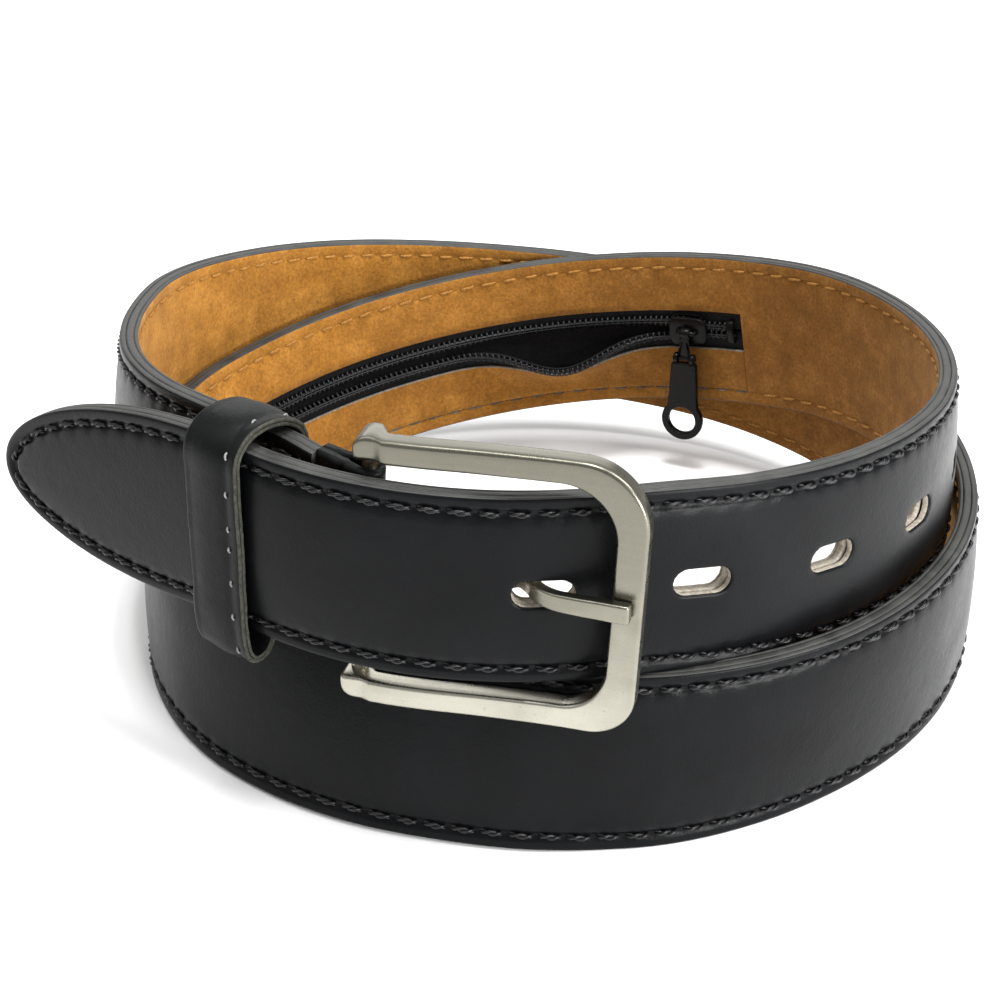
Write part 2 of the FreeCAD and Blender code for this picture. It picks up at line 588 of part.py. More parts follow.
for name, shape in parts.items():
    shape = shape.copy()
    shape.translate(SHIFT)
    if len(shape.Solids) == 1:
        shape = shape.Solids[0]
    print("%-26s solids %d valid %s vol %.1f" % (name, len(shape.Solids), shape.isValid(), shape.Volume))
    shape.exportStep("parts/%s.step" % name)

print("shift %.3f %.3f %.3f" % (SHIFT.x, SHIFT.y, SHIFT.z))
print("size %.1f %.1f %.1f" % (box.XLength, box.YLength, box.ZLength))
foot = at(285, 0, 1.0)
named = [("bar", BAR + SHIFT), ("bar_axis", BAR_AXIS), ("arc_centre", ARC_C + SHIFT),
         ("bail", BAIL_P + SHIFT), ("link_pin", BAIL_P + V(0, 0, -LINK_DROP) + SHIFT),
         ("ring", BAIL_P + V(0, 0, RING_Z) + SHIFT),
         ("keeper", KEEPER_P + SHIFT), ("foot", V(foot.x, foot.y, FOOT_CUT) + SHIFT),
         ("band", at(700, 0, 2.4) + SHIFT), ("arc_axis", ARC_N), ("hang_x", HANG_X), ("hang_y", HANG_Y),
         ("keeper_dir", KT), ("band_dir", strap_axes(700)[0]),
         ("mouth", at(arc_turn(88.0), -7.0, -4.0) + SHIFT)]
named += [("hole%d" % i, middle(q) + SHIFT) for i, q in enumerate(hole_places())]
named += [("hole%d_n" % i, strap_axes(q)[2]) for i, q in enumerate(hole_places())]
for label, v in named:
    print("@ %-12s %.5f %.5f %.5f" % (label, v.x, v.y, v.z))
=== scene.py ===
import math

import bmesh
import bpy
import numpy as np
from mathutils import Matrix, Vector, noise


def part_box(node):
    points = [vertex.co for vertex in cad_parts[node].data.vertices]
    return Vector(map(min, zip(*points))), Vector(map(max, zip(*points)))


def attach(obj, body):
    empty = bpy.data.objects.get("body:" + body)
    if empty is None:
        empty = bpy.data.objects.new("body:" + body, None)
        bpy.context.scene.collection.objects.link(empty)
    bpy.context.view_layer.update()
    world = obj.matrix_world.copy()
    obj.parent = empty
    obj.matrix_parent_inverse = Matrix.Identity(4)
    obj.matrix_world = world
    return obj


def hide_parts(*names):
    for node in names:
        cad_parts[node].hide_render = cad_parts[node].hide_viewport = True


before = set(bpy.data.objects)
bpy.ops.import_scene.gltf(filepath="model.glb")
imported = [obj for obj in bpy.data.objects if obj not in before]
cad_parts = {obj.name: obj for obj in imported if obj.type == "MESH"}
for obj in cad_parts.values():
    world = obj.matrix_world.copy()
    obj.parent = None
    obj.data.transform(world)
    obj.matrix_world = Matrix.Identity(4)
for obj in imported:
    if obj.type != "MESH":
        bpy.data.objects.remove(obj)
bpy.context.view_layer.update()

MM = 0.001

# --- dimensions shared with the CAD (mm, deg)
STRAP_W, EDGE_T = 35.0, 3.6
HALF_W = STRAP_W / 2
TIP_LEN, TIP_TAPER = 62.0, 50.0
TIP_SLOPE, TIP_EASE, TIP_BEND = 0.105, 10.0, 2.0
HOLE_L, HOLE_H, HOLE_PITCH, HOLE_N, HOLE_FIRST = 10.5, 5.0, 27.0, 5, 717.8
FROM_BAR = [(23.7, 73.4, 36.0, 0), (30, 71.4, 36.4, 0), (37, 70.2, 37.1, 0), (50, 71.2, 37.0, 0),
            (62, 73.2, 35.8, -1), (75, 75.4, 34.3, -3), (90, 77.5, 32.1, -6), (101, 79.4, 30.4, -7),
            (112, 81.7, 28.5, -6), (135, 85.5, 22.9, -4), (180, 90.9, 11.6, -2),
            (225, 92.0, 5.5, -3), (252, 90.2, 0.5, -2),
            (268, 88.2, 0, -1), (292, 85.2, 0, 2), (315, 82.2, 0, 4), (340, 78.7, 0, 0),
            (348, 77.1, 0, -2), (354, 75.3, 0, -6), (361, 73.5, 0, -10), (372, 71.6, 0, -13),
            (384, 71.0, 0, -15), (405, 71.6, 0, -13), (428, 72.8, 0, -6), (450, 73.9, 0, 0),
            (462, 74.9, 0.8, 5)]
TO_TIP = [(612, 84.9, 22.8, -4), (630, 82.4, 24.8, -2), (652, 79.4, 27.6, 0), (675, 77.3, 30.8, 0),
          (690, 76.9, 33.2, 0), (706, 76.7, 35.2, 0), (720, 77.1, 35.4, 0), (742, 78.4, 36.4, 0),
          (760, 78.0, 37.2, 0)]
TURN_END = 760.0
ARC_C = np.array([5.3, 0.0, 31.4])
ARC_N = np.array([-0.137, 0.027, 0.990]) / np.linalg.norm([-0.137, 0.027, 0.990])
ARC_R, ARC_FROM, ARC_TO, ARC_STEPS = 82.2, 154.0, 41.0, 9
ZIP_LEFT, ZIP_RIGHT, SLIDER_AT = 151.0, 57.0, 66.2
SLOT_H, LIP_ROOT, LIP_FOLD, MOUTH, RAIL_H = 4.5, 14.4, 50.0, (106.0, 69.5), 9.7
COIL_W = 1.9
BAR = np.array([-26.93, -67.84, 53.0])
BUCKLE_YAW, BAR_TILT = math.radians(-14.0), math.radians(4.5)
LINK_DROP, TAB_L, RING_R, RING_HOLE = 6.2, 12.5, 4.7, 3.05
Q_STRAP = 29.5
Q_END = TURN_END + TIP_LEN
UP = np.array([0.0, 0.0, 1.0])

# --- dimensions of the looks (mm)
SEAM, PITCH = 2.75, 5.0            # the row of stitches: in from the edge, and stitch to stitch
STEP = PITCH / 6                   # between rays of the outline
MARGIN = 4.1                       # from the edge to the foot of the crown
TIP_R = HALF_W ** 2 / TIP_TAPER
TIP_REACH = TIP_TAPER + 0.9        # along the sloping tip
BEND, SUEDE_W, LIP_GAIN = 6.5, 1.8, 1.22
PART_LEAD, PART_SPAN, PART_SHUT, PART_WIDE = 3.4, 5.0, 0.15, 0.95     # the coils, behind the slider
HOLE_REACH, HOLE_COLS = 7.6, 3     # the patch of grid that a punched hole replaces

bar_lo, bar_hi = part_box("buckle_bar")
SHIFT = np.array([(bar_lo[i] + bar_hi[i]) / 2 / MM for i in range(3)]) - BAR


def unit(v):
    return v / np.linalg.norm(v)


def smooth(x):
    x = np.clip(x, 0.0, 1.0)
    return x * x * (3 - 2 * x)


def unit_rows(a, tiny=0.0):
    return a / (np.linalg.norm(a, axis=-1, keepdims=True) + tiny)


def run_along(points):
    """Distance along the points, from the first."""
    return np.concatenate([[0], np.cumsum(np.linalg.norm(np.diff(points, axis=0), axis=1))])


# --- path of the coiled strap
def natural_spline(xs, ys):
    n = len(xs)
    h = np.diff(xs)
    m = np.zeros(n)
    a = np.zeros((n - 2, n - 2))
    d = np.zeros(n - 2)
    for i in range(1, n - 1):
        a[i - 1, i - 1] = 2 * (h[i - 1] + h[i])
        if i > 1:
            a[i - 1, i - 2] = h[i - 1]
        if i < n - 2:
            a[i - 1, i] = h[i]
        d[i - 1] = 6 * ((ys[i + 1] - ys[i]) / h[i] - (ys[i] - ys[i - 1]) / h[i - 1])
    m[1:-1] = np.linalg.solve(a, d)
    ys = np.array(ys, float)
    xs = np.array(xs, float)

    def f(x):
        i = np.clip(np.searchsorted(xs, x, side="right") - 1, 0, n - 2)
        t, u = x - xs[i], xs[i + 1] - x
        return ((m[i] * u ** 3 + m[i + 1] * t ** 3) / (6 * h[i]) + (ys[i] / h[i] - m[i] * h[i] / 6) * u
                + (ys[i + 1] / h[i] - m[i + 1] * h[i] / 6) * t)
    return f


def monotone_curve(xs, ys):
    xs, ys = np.array(xs, float), np.array(ys, float)
    n = len(xs)
    s = np.diff(ys) / np.diff(xs)
    g = [s[0]] + [0.0 if s[i - 1] * s[i] <= 0 else 2 * s[i - 1] * s[i] / (s[i - 1] + s[i])
                  for i in range(1, n - 1)] + [s[-1]]
    g = np.array(g)

    def f(x):
        i = np.clip(np.searchsorted(xs, x, side="right") - 1, 0, n - 2)
        h = xs[i + 1] - xs[i]
        t = (x - xs[i]) / h
        return ((1 + 2 * t) * (1 - t) ** 2 * ys[i] + t * (1 - t) ** 2 * h * g[i]
                + t * t * (3 - 2 * t) * ys[i + 1] + t * t * (t - 1) * h * g[i + 1])
    return f


ARC_X = unit(np.array([1.0, 0, 0]) - ARC_N * ARC_N[0])
ARC_Y = np.cross(ARC_N, ARC_X)


def arc_point(a, radius=ARC_R):
    r = math.radians(a)
    return ARC_C + ARC_X * (radius * math.cos(r)) + ARC_Y * (radius * math.sin(r))


def arc_turn(a):
    p = arc_point(a)
    return (-90.0 - math.degrees(math.atan2(p[1], p[0]))) % 360.0 + 360.0


def arc_station(a):
    p = arc_point(a)
    t = -unit(np.cross(ARC_N, p - ARC_C))
    ev = unit(UP - t * t[2])
    lean = math.atan2(np.dot(ARC_N, np.cross(ev, t)), np.dot(ARC_N, ev))
    low = p[2] - HALF_W * math.cos(lean) - EDGE_T / 2 * abs(math.sin(lean))
    return (arc_turn(a), math.hypot(p[0], p[1]), low, math.degrees(lean))


ARC_ANGLES = [ARC_FROM + (ARC_TO - ARC_FROM) * i / (ARC_STEPS - 1) for i in range(ARC_STEPS)]
STATIONS = FROM_BAR + [arc_station(a) for a in ARC_ANGLES] + TO_TIP
TURNS = [s[0] for s in STATIONS]
radius_at = natural_spline(TURNS, [s[1] for s in STATIONS])
height_at = monotone_curve(TURNS, [s[2] for s in STATIONS])
lean_at = monotone_curve(TURNS, [s[3] for s in STATIONS])


def turn_points(q):
    phi, lean = np.radians(-90.0 - q), np.radians(lean_at(q))
    r = radius_at(q)
    z = height_at(q) + HALF_W * np.cos(lean) + EDGE_T / 2 * np.abs(np.sin(lean))
    return np.stack([r * np.cos(phi), r * np.sin(phi), z], -1)


END_P = turn_points(np.array([TURN_END]))[0]
END_T = END_P - turn_points(np.array([TURN_END - 0.5]))[0]
END_T = unit(np.array([END_T[0], END_T[1], 0.0]))


def middles(q):
    q = np.asarray(q, float)
    s = np.maximum(q - TURN_END, 0.0)[:, None]
    eased = np.where(s < TIP_EASE, s * s / (2 * TIP_EASE), s - TIP_EASE / 2)
    tail = END_P + END_T * s - UP * (TIP_SLOPE * eased + TIP_BEND * (s / TIP_LEN) ** 2)
    return np.where(q[:, None] <= TURN_END, turn_points(np.minimum(q, TURN_END)), tail)


Q_TAB = np.concatenate([np.arange(Q_STRAP - 8, TURN_END, 0.2), np.arange(TURN_END, Q_END + 4, 0.25)])
MID_TAB = middles(Q_TAB)
T_TAB = unit_rows(middles(Q_TAB + 0.4) - middles(Q_TAB - 0.4))
_v = unit_rows(UP - T_TAB * T_TAB[:, 2:3])
_n = np.cross(_v, T_TAB)
_l = np.radians(lean_at(np.minimum(Q_TAB, TURN_END)))[:, None]
U_TAB = _v * np.cos(_l) + _n * np.sin(_l)
N_TAB = _n * np.cos(_l) - _v * np.sin(_l)
S_TAB = run_along(MID_TAB)


def s_of(q):
    return float(np.interp(q, Q_TAB, S_TAB))


def look_up(table, s):
    return np.stack([np.interp(s, S_TAB, table[:, i]) for i in range(3)], -1)


def place(s, h, w):
    """Points on the strap in metres: run along the path, height from the middle, offset outward."""
    s, h, w = np.broadcast_arrays(np.asarray(s, float), h, w)
    shape = s.shape
    s, h, w = s.ravel(), h.ravel(), w.ravel()
    p = look_up(MID_TAB, s) + look_up(U_TAB, s) * h[:, None] + look_up(N_TAB, s) * w[:, None]
    p = p + SHIFT
    p[:, 2] = np.maximum(p[:, 2], 0.0)
    return (p * MM).reshape(shape + (3,))


S0, S_POINT = s_of(Q_STRAP), s_of(Q_END - TIP_TAPER)
S_ZIP0, S_ZIP1 = s_of(arc_turn(ZIP_LEFT)), s_of(arc_turn(ZIP_RIGHT))


def arc_angle(s):
    return ZIP_LEFT + (ZIP_RIGHT - ZIP_LEFT) * (np.asarray(s, float) - S_ZIP0) / (S_ZIP1 - S_ZIP0)


def parted(s):
    """Half the gap between the coils: closed before the slider, open behind it."""
    k = (arc_angle(s) - SLIDER_AT + PART_LEAD) / PART_SPAN
    return PART_SHUT + PART_WIDE * smooth(k)


def lip_angle(s):
    k = np.clip((MOUTH[0] - arc_angle(s)) / (MOUTH[0] - MOUTH[1]), 0.0, 1.0)
    return np.radians(LIP_FOLD * LIP_GAIN) * np.sin(math.pi * k) ** 2


def unfolded(s, h, w):
    return h, w


def folded(s, h, w):
    """Carries a point of the lower half round the soft bend at the root of the lip."""
    a = lip_angle(s) + 1e-6
    d, off = h + LIP_ROOT, w + SUEDE_W
    k = a * np.clip(d, 0.0, BEND) / BEND
    past = np.maximum(d - BEND, 0)
    dh = BEND / a * np.sin(k) + past * np.cos(k) + off * np.sin(k) + np.minimum(d, 0)
    dw = -(BEND / a) * (1 - np.cos(k)) - past * np.sin(k) + off * np.cos(k)
    return -LIP_ROOT + dh, -SUEDE_W + dw


# --- mesh helpers
def add_object(name, data):
    ob = bpy.data.objects.new(name, data)
    bpy.context.scene.collection.objects.link(ob)
    return ob


def add_mesh(name, verts, faces, mats, face_mats=None, path=None):
    me = bpy.data.meshes.new(name)
    me.from_pydata([tuple(v) for v in verts], [], [tuple(int(i) for i in f) for f in faces])
    for m in mats:
        me.materials.append(m)
    if face_mats is not None:
        me.polygons.foreach_set("material_index", np.array(face_mats, np.int32))
    if path is not None:
        att = me.attributes.new("path", "FLOAT_VECTOR", "POINT")
        att.data.foreach_set("vector", (np.asarray(path, float) * MM).ravel())
    me.polygons.foreach_set("use_smooth", [True] * len(me.polygons))
    bm = bmesh.new()
    bm.from_mesh(me)
    bmesh.ops.remove_doubles(bm, verts=bm.verts, dist=1e-7)
    bmesh.ops.recalc_face_normals(bm, faces=bm.faces)
    bm.to_mesh(me)
    bm.free()
    me.update()
    return add_object(name, me)


def piece(ob, body, replaces=()):
    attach(ob, body)
    if replaces:
        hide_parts(*replaces)
    return ob


def grid_faces(rows, cols, base=0, wrap_rows=False):
    """Four-sided faces between rows of points, where each row closes on itself."""
    r = np.arange(rows if wrap_rows else rows - 1)[:, None]
    c = np.arange(cols)[None, :]
    r2, c2 = (r + 1) % rows, (c + 1) % cols
    q = np.stack([r * cols + c, r * cols + c2, r2 * cols + c2, r2 * cols + c], -1)
    return (q.reshape(-1, 4) + base).tolist()


def closed_faces(rows, cols, base=0):
    """The same, with both ends capped."""
    last = base + (rows - 1) * cols
    return grid_faces(rows, cols, base) + [tuple(range(base, base + cols)),
                                           tuple(reversed(range(last, last + cols)))]


def merge(parts):
    v, f, base = [], [], 0
    for pv, pf in parts:
        v.append(np.asarray(pv, float))
        f += [tuple(i + base for i in q) for q in pf]
        base += len(pv)
    return np.concatenate(v), f


def tubes(paths, normals, radius, sides=6):
    """Many round threads at once: paths (M, X, 3), radius (X,) or a number."""
    m, x, _ = paths.shape
    t = unit_rows(np.gradient(paths, axis=1), 1e-12)
    b = unit_rows(np.cross(t, normals), 1e-12)
    n = np.cross(b, t)
    ang = (np.arange(sides) / sides * 2 * math.pi)[:, None]
    rad = np.broadcast_to(np.asarray(radius, float), (x,))[None, :, None, None]
    ring = b[:, :, None, :] * np.cos(ang) + n[:, :, None, :] * np.sin(ang)
    v = (paths[:, :, None, :] + ring * rad).reshape(-1, 3)
    return v, [f for i in range(m) for f in closed_faces(x, sides, i * x * sides)]


# --- the strap's outline and its layers
def outline_rays(keep=(), s_from=-1e9, s_to=1e9):
    """Rays from the edge to the middle line: start (s, h), inward direction, length, run along the seam."""
    s = np.linspace(S0, S_POINT, int(round((S_POINT - S0) / STEP)) + 1)
    for k in keep:
        s[np.argmin(np.abs(s - k))] = k
    x = 1 - (1 - np.linspace(0, 1, 4000)) ** 2
    y = HALF_W * np.sqrt(np.maximum(0, 1 - x ** 2))
    run = np.concatenate([[0], np.cumsum(np.hypot(np.diff(x) * TIP_TAPER, np.diff(y)))])
    xi = np.interp(np.linspace(0, run[-1], int(run[-1] / STEP) + 1)[1:], run, x)
    yi = HALF_W * np.sqrt(np.maximum(0, 1 - xi ** 2))
    g = unit_rows(np.stack([xi / TIP_TAPER, yi / HALF_W ** 2], 1))
    o = np.concatenate([np.stack([s, np.full_like(s, HALF_W)], 1), np.stack([S_POINT + xi * TIP_REACH, yi], 1)])
    d = np.concatenate([np.tile([0.0, -1.0], (len(s), 1)), -g])
    length = np.where(o[:, 1] > 1e-6, -o[:, 1] / np.minimum(d[:, 1], -1e-9), TIP_R)
    length[-1] = TIP_R
    d[-1] = (-1.0, 0.0)
    pick = (o[:, 0] >= s_from - 1e-6) & (o[:, 0] <= s_to + 1e-6)
    return [a[pick] for a in (o, d, length, run_along(o + d * SEAM))]


def mirrored(rows):
    """Rows of (s, h) on the upper half, carried round the tip and back along the lower half."""
    return np.concatenate([rows, (rows * [1, -1])[::-1][1:]])


def crown(f, length):
    return 0.62 * np.minimum(1.0, (length - MARGIN) / 13.4) ** 0.7 * (1 - (1 - f) ** 2.4)


class StrapLayer:
    """A layer of the strap as one closed mesh, with its slots and holes cut through."""

    def __init__(self, front, back, tail, front_w, back_w, **rays):
        self.o, self.d, self.len, self.run = outline_rays(**rays)
        self.tail = tail

        def half(side, rows, w_tail):
            return [(side, dist, None, w) for dist, w in rows] + [(side, None, f, w_tail) for f in tail]

        col = half(1, front, front_w) + [(0, None, 1.0, front_w)] + half(-1, front, front_w)[::-1]
        col += half(-1, back, back_w) + [(0, None, 1.0, back_w)] + half(1, back, back_w)[::-1]
        self.front_mid = len(front) + len(tail)
        self.front_end = 2 * self.front_mid
        self.back_mid = self.front_end + 1 + len(back) + len(tail)
        self.cols = col
        self.shw = np.zeros((len(self.o), len(col), 3))
        for c, (side, dist, frac, w) in enumerate(col):
            deep = MARGIN + frac * (self.len - MARGIN) if dist is None else np.minimum(dist, self.len * 0.64)
            p = self.o + self.d * deep[:, None]
            self.shw[:, c, 0] = p[:, 0]
            self.shw[:, c, 1] = p[:, 1] * side
            self.shw[:, c, 2] = w(frac, self.len) if callable(w) else w
        self.extra, self.faces, self.mats = [], [], []
        self.gone = set()

    def pucker(self, amounts):
        """Lifts or presses the columns near the seam at every stitch."""
        wave = (0.5 + 0.5 * np.cos(2 * math.pi * self.run / PITCH)) ** 3
        for c, (_, dist, _, _) in enumerate(self.cols):
            self.shw[:, c, 2] += amounts.get(dist, 0.0) * wave

    def fid(self, j, c):
        """Vertex on the front face, c columns above the middle."""
        return j * len(self.cols) + self.front_mid - c

    def bid(self, j, c):
        return j * len(self.cols) + self.back_mid + c

    def rim(self, vid, j0, j1, c0, c1):
        """Vertices round a block, from the middle of its far end, over the top."""
        loop = [vid(j1, c) for c in range(0, c1)] + [vid(j, c1) for j in range(j1, j0, -1)]
        loop += [vid(j0, c) for c in range(c1, c0, -1)] + [vid(j, c0) for j in range(j0, j1)]
        return loop + [vid(j1, c) for c in range(c0, 0)]

    def drop(self, j0, j1, c0, c1):
        k = len(self.cols)
        for j in range(j0, j1):
            for c in range(c0, c1):
                self.gone.add((j, (self.front_mid - c - 1) % k))
                self.gone.add((j, (self.back_mid + c) % k))

    def join(self, a, b, mat):
        """Faces between two loops of vertices."""
        for i in range(len(a)):
            n = (i + 1) % len(a)
            self.faces.append((a[i], a[n], b[n], b[i]))
            self.mats.append(mat)

    def slot(self, s_from, s_to, c0, c1, mat):
        j0, j1 = (int(np.argmin(np.abs(self.o[:, 0] - s))) for s in (s_from, s_to))
        self.drop(j0, j1, c0, c1)
        self.join(self.rim(self.fid, j0, j1, c0, c1), self.rim(self.bid, j0, j1, c0, c1), mat)

    def hole(self, s_mid, grow, steps, mat, rim_mat):
        """An oval punched hole, joined to the grid by rings that roll over its rim."""
        near = np.where((np.abs(self.o[:, 0] - s_mid) < HOLE_REACH) & (self.o[:, 0] < S_POINT))[0]
        block = int(near[0]), int(near[-1]), -HOLE_COLS, HOLE_COLS
        self.drop(*block)
        flat = self.shw.reshape(-1, 3)
        ends = []
        for vid, mid, sign in ((self.fid, self.front_mid, -1), (self.bid, self.back_mid, 1)):
            last = self.rim(vid, *block)
            pts = flat[last]
            part = np.concatenate([[0], np.cumsum(np.hypot(*np.diff(pts[:, :2], axis=0).T))])
            part = part / (part[-1] + np.hypot(*(pts[0, :2] - pts[-1, :2])))
            across = np.array([self.shw[block[0], mid + sign * c, 1:] for c in range(len(self.tail) + 1)])
            for out, dip, grid_share in steps:
                oval = stadium(part, HOLE_L / 2 + grow + out, HOLE_H / 2 + grow + out) + [s_mid, 0]
                xy = pts[:, :2] * grid_share + oval * (1 - grid_share)
                w_in = np.interp(np.abs(xy[:, 1]), across[:, 0], across[:, 1])
                start = len(flat) + sum(len(e) for e in self.extra)
                self.extra.append(np.column_stack([xy, w_in + sign * dip]))
                new = list(range(start, start + len(last)))
                self.join(last, new, rim_mat if out < 0.2 else self.mat_of[mid])
                last = new
            ends.append(last)
        self.join(*ends, mat)

    def build(self, name, mats, sag=0.0):
        j, k = self.shw.shape[:2]
        for a in range(j - 1):
            for c in range(k):
                if (a, c) not in self.gone:
                    n = (c + 1) % k
                    self.faces.append((a * k + c, a * k + n, (a + 1) * k + n, (a + 1) * k + c))
                    self.mats.append(self.mat_of[c])
        ends = [range(k)]
        if self.o[-1, 1] > 0.1:        # cut square, not run out to the point
            ends.append(reversed(range((j - 1) * k, j * k)))
        self.faces += [tuple(end) for end in ends]
        self.mats += [self.mat_of[0]] * len(ends)
        shw = np.concatenate([self.shw.reshape(-1, 3)] + self.extra)
        if sag:
            shw[:, 2] += [sag * noise.noise(Vector((a * 0.075, b * 0.11, 3.1))) for a, b, _ in shw]
        used = sorted({i for f in self.faces for i in f})
        new = {o: i for i, o in enumerate(used)}
        faces = [tuple(new[i] for i in f) for f in self.faces]
        return add_mesh(name, place(*shw.T)[used], faces, mats, self.mats, shw[used])


def stadium(part, a, b):
    """Points round a slot shape by share of its length, from the middle of its right end, upward."""
    straight, quarter = 2 * (a - b), math.pi * b / 2
    out = []
    for v in np.asarray(part) * (2 * straight + 4 * quarter):
        side, turn = 0.0, v / b                                    # right end, upper quarter
        if quarter <= v < quarter + straight:                      # along the top
            side, turn = v - quarter, math.pi / 2
        elif quarter + straight <= v < 3 * quarter + straight:     # left end
            side, turn = straight, (v - straight) / b
        elif 3 * quarter + straight <= v < 3 * quarter + 2 * straight:      # along the bottom
            side, turn = 4 * quarter + 2 * straight - v - quarter, -math.pi / 2
        elif v >= 3 * quarter + 2 * straight:                      # right end, lower quarter
            turn = (v - 2 * straight) / b
        out.append((a - b - side + b * math.cos(turn), b * math.sin(turn)))
    return np.array(out)


def hole_runs():
    q = HOLE_FIRST
    for _ in range(HOLE_N):
        yield s_of(q)
        q -= math.degrees(HOLE_PITCH / float(radius_at(q)))


HOLES = list(hole_runs())


# --- materials
class Shader:
    """A material's node tree, with short ways to add the nodes that the materials share."""

    def __init__(self, name, base, rough, **sockets):
        self.mat = bpy.data.materials.new(name)
        self.mat.use_nodes = True
        self.nt = self.mat.node_tree
        self.bsdf = self.nt.nodes["Principled BSDF"]
        self.bsdf.inputs["Base Color"].default_value = (*base, 1)
        self.bsdf.inputs["Roughness"].default_value = rough
        for key, value in sockets.items():
            self.bsdf.inputs[key.replace("_", " ")].default_value = value
        self.at = self.coords()
        self.normal = None

    def feed(self, socket, value):
        """Gives a socket its constant, or links an output to it."""
        if isinstance(value, bpy.types.NodeSocket):
            self.nt.links.new(value, socket)
        else:
            socket.default_value = value

    def node(self, kind, out, feeds, **props):
        n = self.nt.nodes.new(kind)
        for key, value in props.items():
            setattr(n, key, value)
        for key, value in feeds.items():
            self.feed(n.inputs[key], value)
        return n.outputs[out]

    def coords(self, stretch=(1, 1, 1), path=False):
        if path:
            src = self.node("ShaderNodeAttribute", "Vector", {}, attribute_name="path")
        else:
            src = self.node("ShaderNodeTexCoord", "Object", {})
        return self.node("ShaderNodeMapping", "Vector", {"Vector": src, "Scale": stretch})

    def noise(self, scale, detail=3.0, rough=0.55, dist=0.0, at=None):
        return self.node("ShaderNodeTexNoise", "Fac", {
            "Vector": self.at if at is None else at, "Scale": scale, "Detail": detail, "Roughness": rough,
            "Distortion": dist})

    def cells(self, scale):
        feeds = {"Vector": self.at, "Scale": scale, "Randomness": 1.0}
        return self.node("ShaderNodeTexVoronoi", "Distance", feeds, feature="F1")

    def axes(self, vec):
        return self.node("ShaderNodeSeparateXYZ", "X", {0: vec}).node.outputs

    def ramp(self, fac, stops):
        n = self.nt.nodes.new("ShaderNodeValToRGB")
        el = n.color_ramp.elements
        while len(el) < len(stops):
            el.new(0.5)
        for e, (pos, col) in zip(el, stops):
            e.position, e.color = pos, (*col, 1)
        self.nt.links.new(fac, n.inputs["Fac"])
        return n.outputs["Color"]

    def blend(self, fac, dark, light):
        return self.ramp(fac, [(0.3, dark), (0.7, light)])

    def span(self, fac, lo, hi, a=0.0, b=1.0):
        return self.node("ShaderNodeMapRange", "Result", {
            "Value": fac, "From Min": lo, "From Max": hi, "To Min": a, "To Max": b})

    def spread(self, fac, a, b):
        return self.span(fac, 0.3, 0.7, a, b)

    def math(self, op, a, b):
        return self.node("ShaderNodeMath", 0, {0: a, 1: b}, operation=op)

    def mix(self, a, b, fac, mode="MIX"):
        feeds = {0: fac, 6: a, 7: (*b, 1) if isinstance(b, tuple) else b}
        return self.node("ShaderNodeMix", 2, feeds, data_type="RGBA", blend_type=mode)

    def dots(self, col, scale, detail, lo, hi, tint, share):
        """Small spots of another colour where a noise is high."""
        return self.mix(col, tint, self.math("MULTIPLY", self.span(self.noise(scale, detail), lo, hi), share))

    def base(self, col):
        self.feed(self.bsdf.inputs["Base Color"], col)

    def rough(self, value):
        self.feed(self.bsdf.inputs["Roughness"], value)

    def bump(self, height, distance, strength):
        """Each bump lies over the ones before it."""
        feeds = {"Height": height, "Distance": distance, "Strength": strength}
        if self.normal is not None:
            feeds["Normal"] = self.normal
        self.normal = self.node("ShaderNodeBump", "Normal", feeds)
        self.feed(self.bsdf.inputs["Normal"], self.normal)


def leather_material(name, dark, light, rough, grain=1.0):
    m = Shader(name, dark, rough, Specular_IOR_Level=0.10)
    blotch = m.noise(55)
    m.base(m.dots(m.blend(blotch, dark, light), 2300, 1, 0.70, 0.76, (0.03, 0.03, 0.032), 0.15))
    fine = m.spread(m.noise(900, 4, 0.6), -0.03, 0.03)
    m.rough(m.math("ADD", m.spread(blotch, rough - 0.04, rough + 0.05), fine))
    m.bump(m.cells(1900), 0.00006 * grain, 0.35)
    m.bump(m.noise(420, 4), 0.00012 * grain, 0.4)
    m.bump(m.noise(90, 2), 0.0003, 0.35)
    return m.mat


def suede_material():
    m = Shader("suede_tan", (0.33, 0.125, 0.017), 0.92, Specular_IOR_Level=0.15, Sheen_Weight=0.18,
               Sheen_Roughness=0.55, Sheen_Tint=(0.95, 0.62, 0.3, 1))
    # Lit and shaded copies of the suede colour, each with its own uneven tone
    lit_golden = m.ramp(m.noise(140, 5, 0.65), [(0.28, (0.205, 0.081, 0.009)), (0.5, (0.295, 0.124, 0.0155)),
                                            (0.72, (0.40, 0.18, 0.031))])
    shaded_brown = m.ramp(m.noise(170, 5, 0.65), [(0.28, (0.105, 0.041, 0.0075)), (0.5, (0.165, 0.069, 0.013)),
                                           (0.72, (0.24, 0.112, 0.027))])
    # Painted shade: blends from the lit golden copy at -X to the darker shaded brown copy at +X, where the
    # lining faces away from the key light; the added noise only wobbles the border
    across = m.span(m.axes(m.at)["X"], -0.075, 0.075)
    col = m.mix(lit_golden, shaded_brown, m.math("ADD", across, m.spread(m.noise(30, 2), -0.18, 0.18)))
    nap = m.noise(1500, 3, 0.7)
    col = m.mix(col, m.blend(nap, (0.55, 0.55, 0.55), (1.35, 1.35, 1.35)), 0.75, "MULTIPLY")
    m.base(m.dots(col, 420, 2, 0.66, 0.74, (0.10, 0.045, 0.015), 0.45))
    m.bump(nap, 0.00025, 0.8)
    m.bump(m.noise(260, 4), 0.0005, 0.55)
    return m.mat


def fibre_material(name, dark, light):
    m = Shader(name, dark, 0.8, Specular_IOR_Level=0.3)
    fibres = m.noise(1300, 4, 0.7, 0.6)
    m.base(m.blend(fibres, dark, light))
    m.bump(fibres, 0.0002, 0.6)
    return m.mat


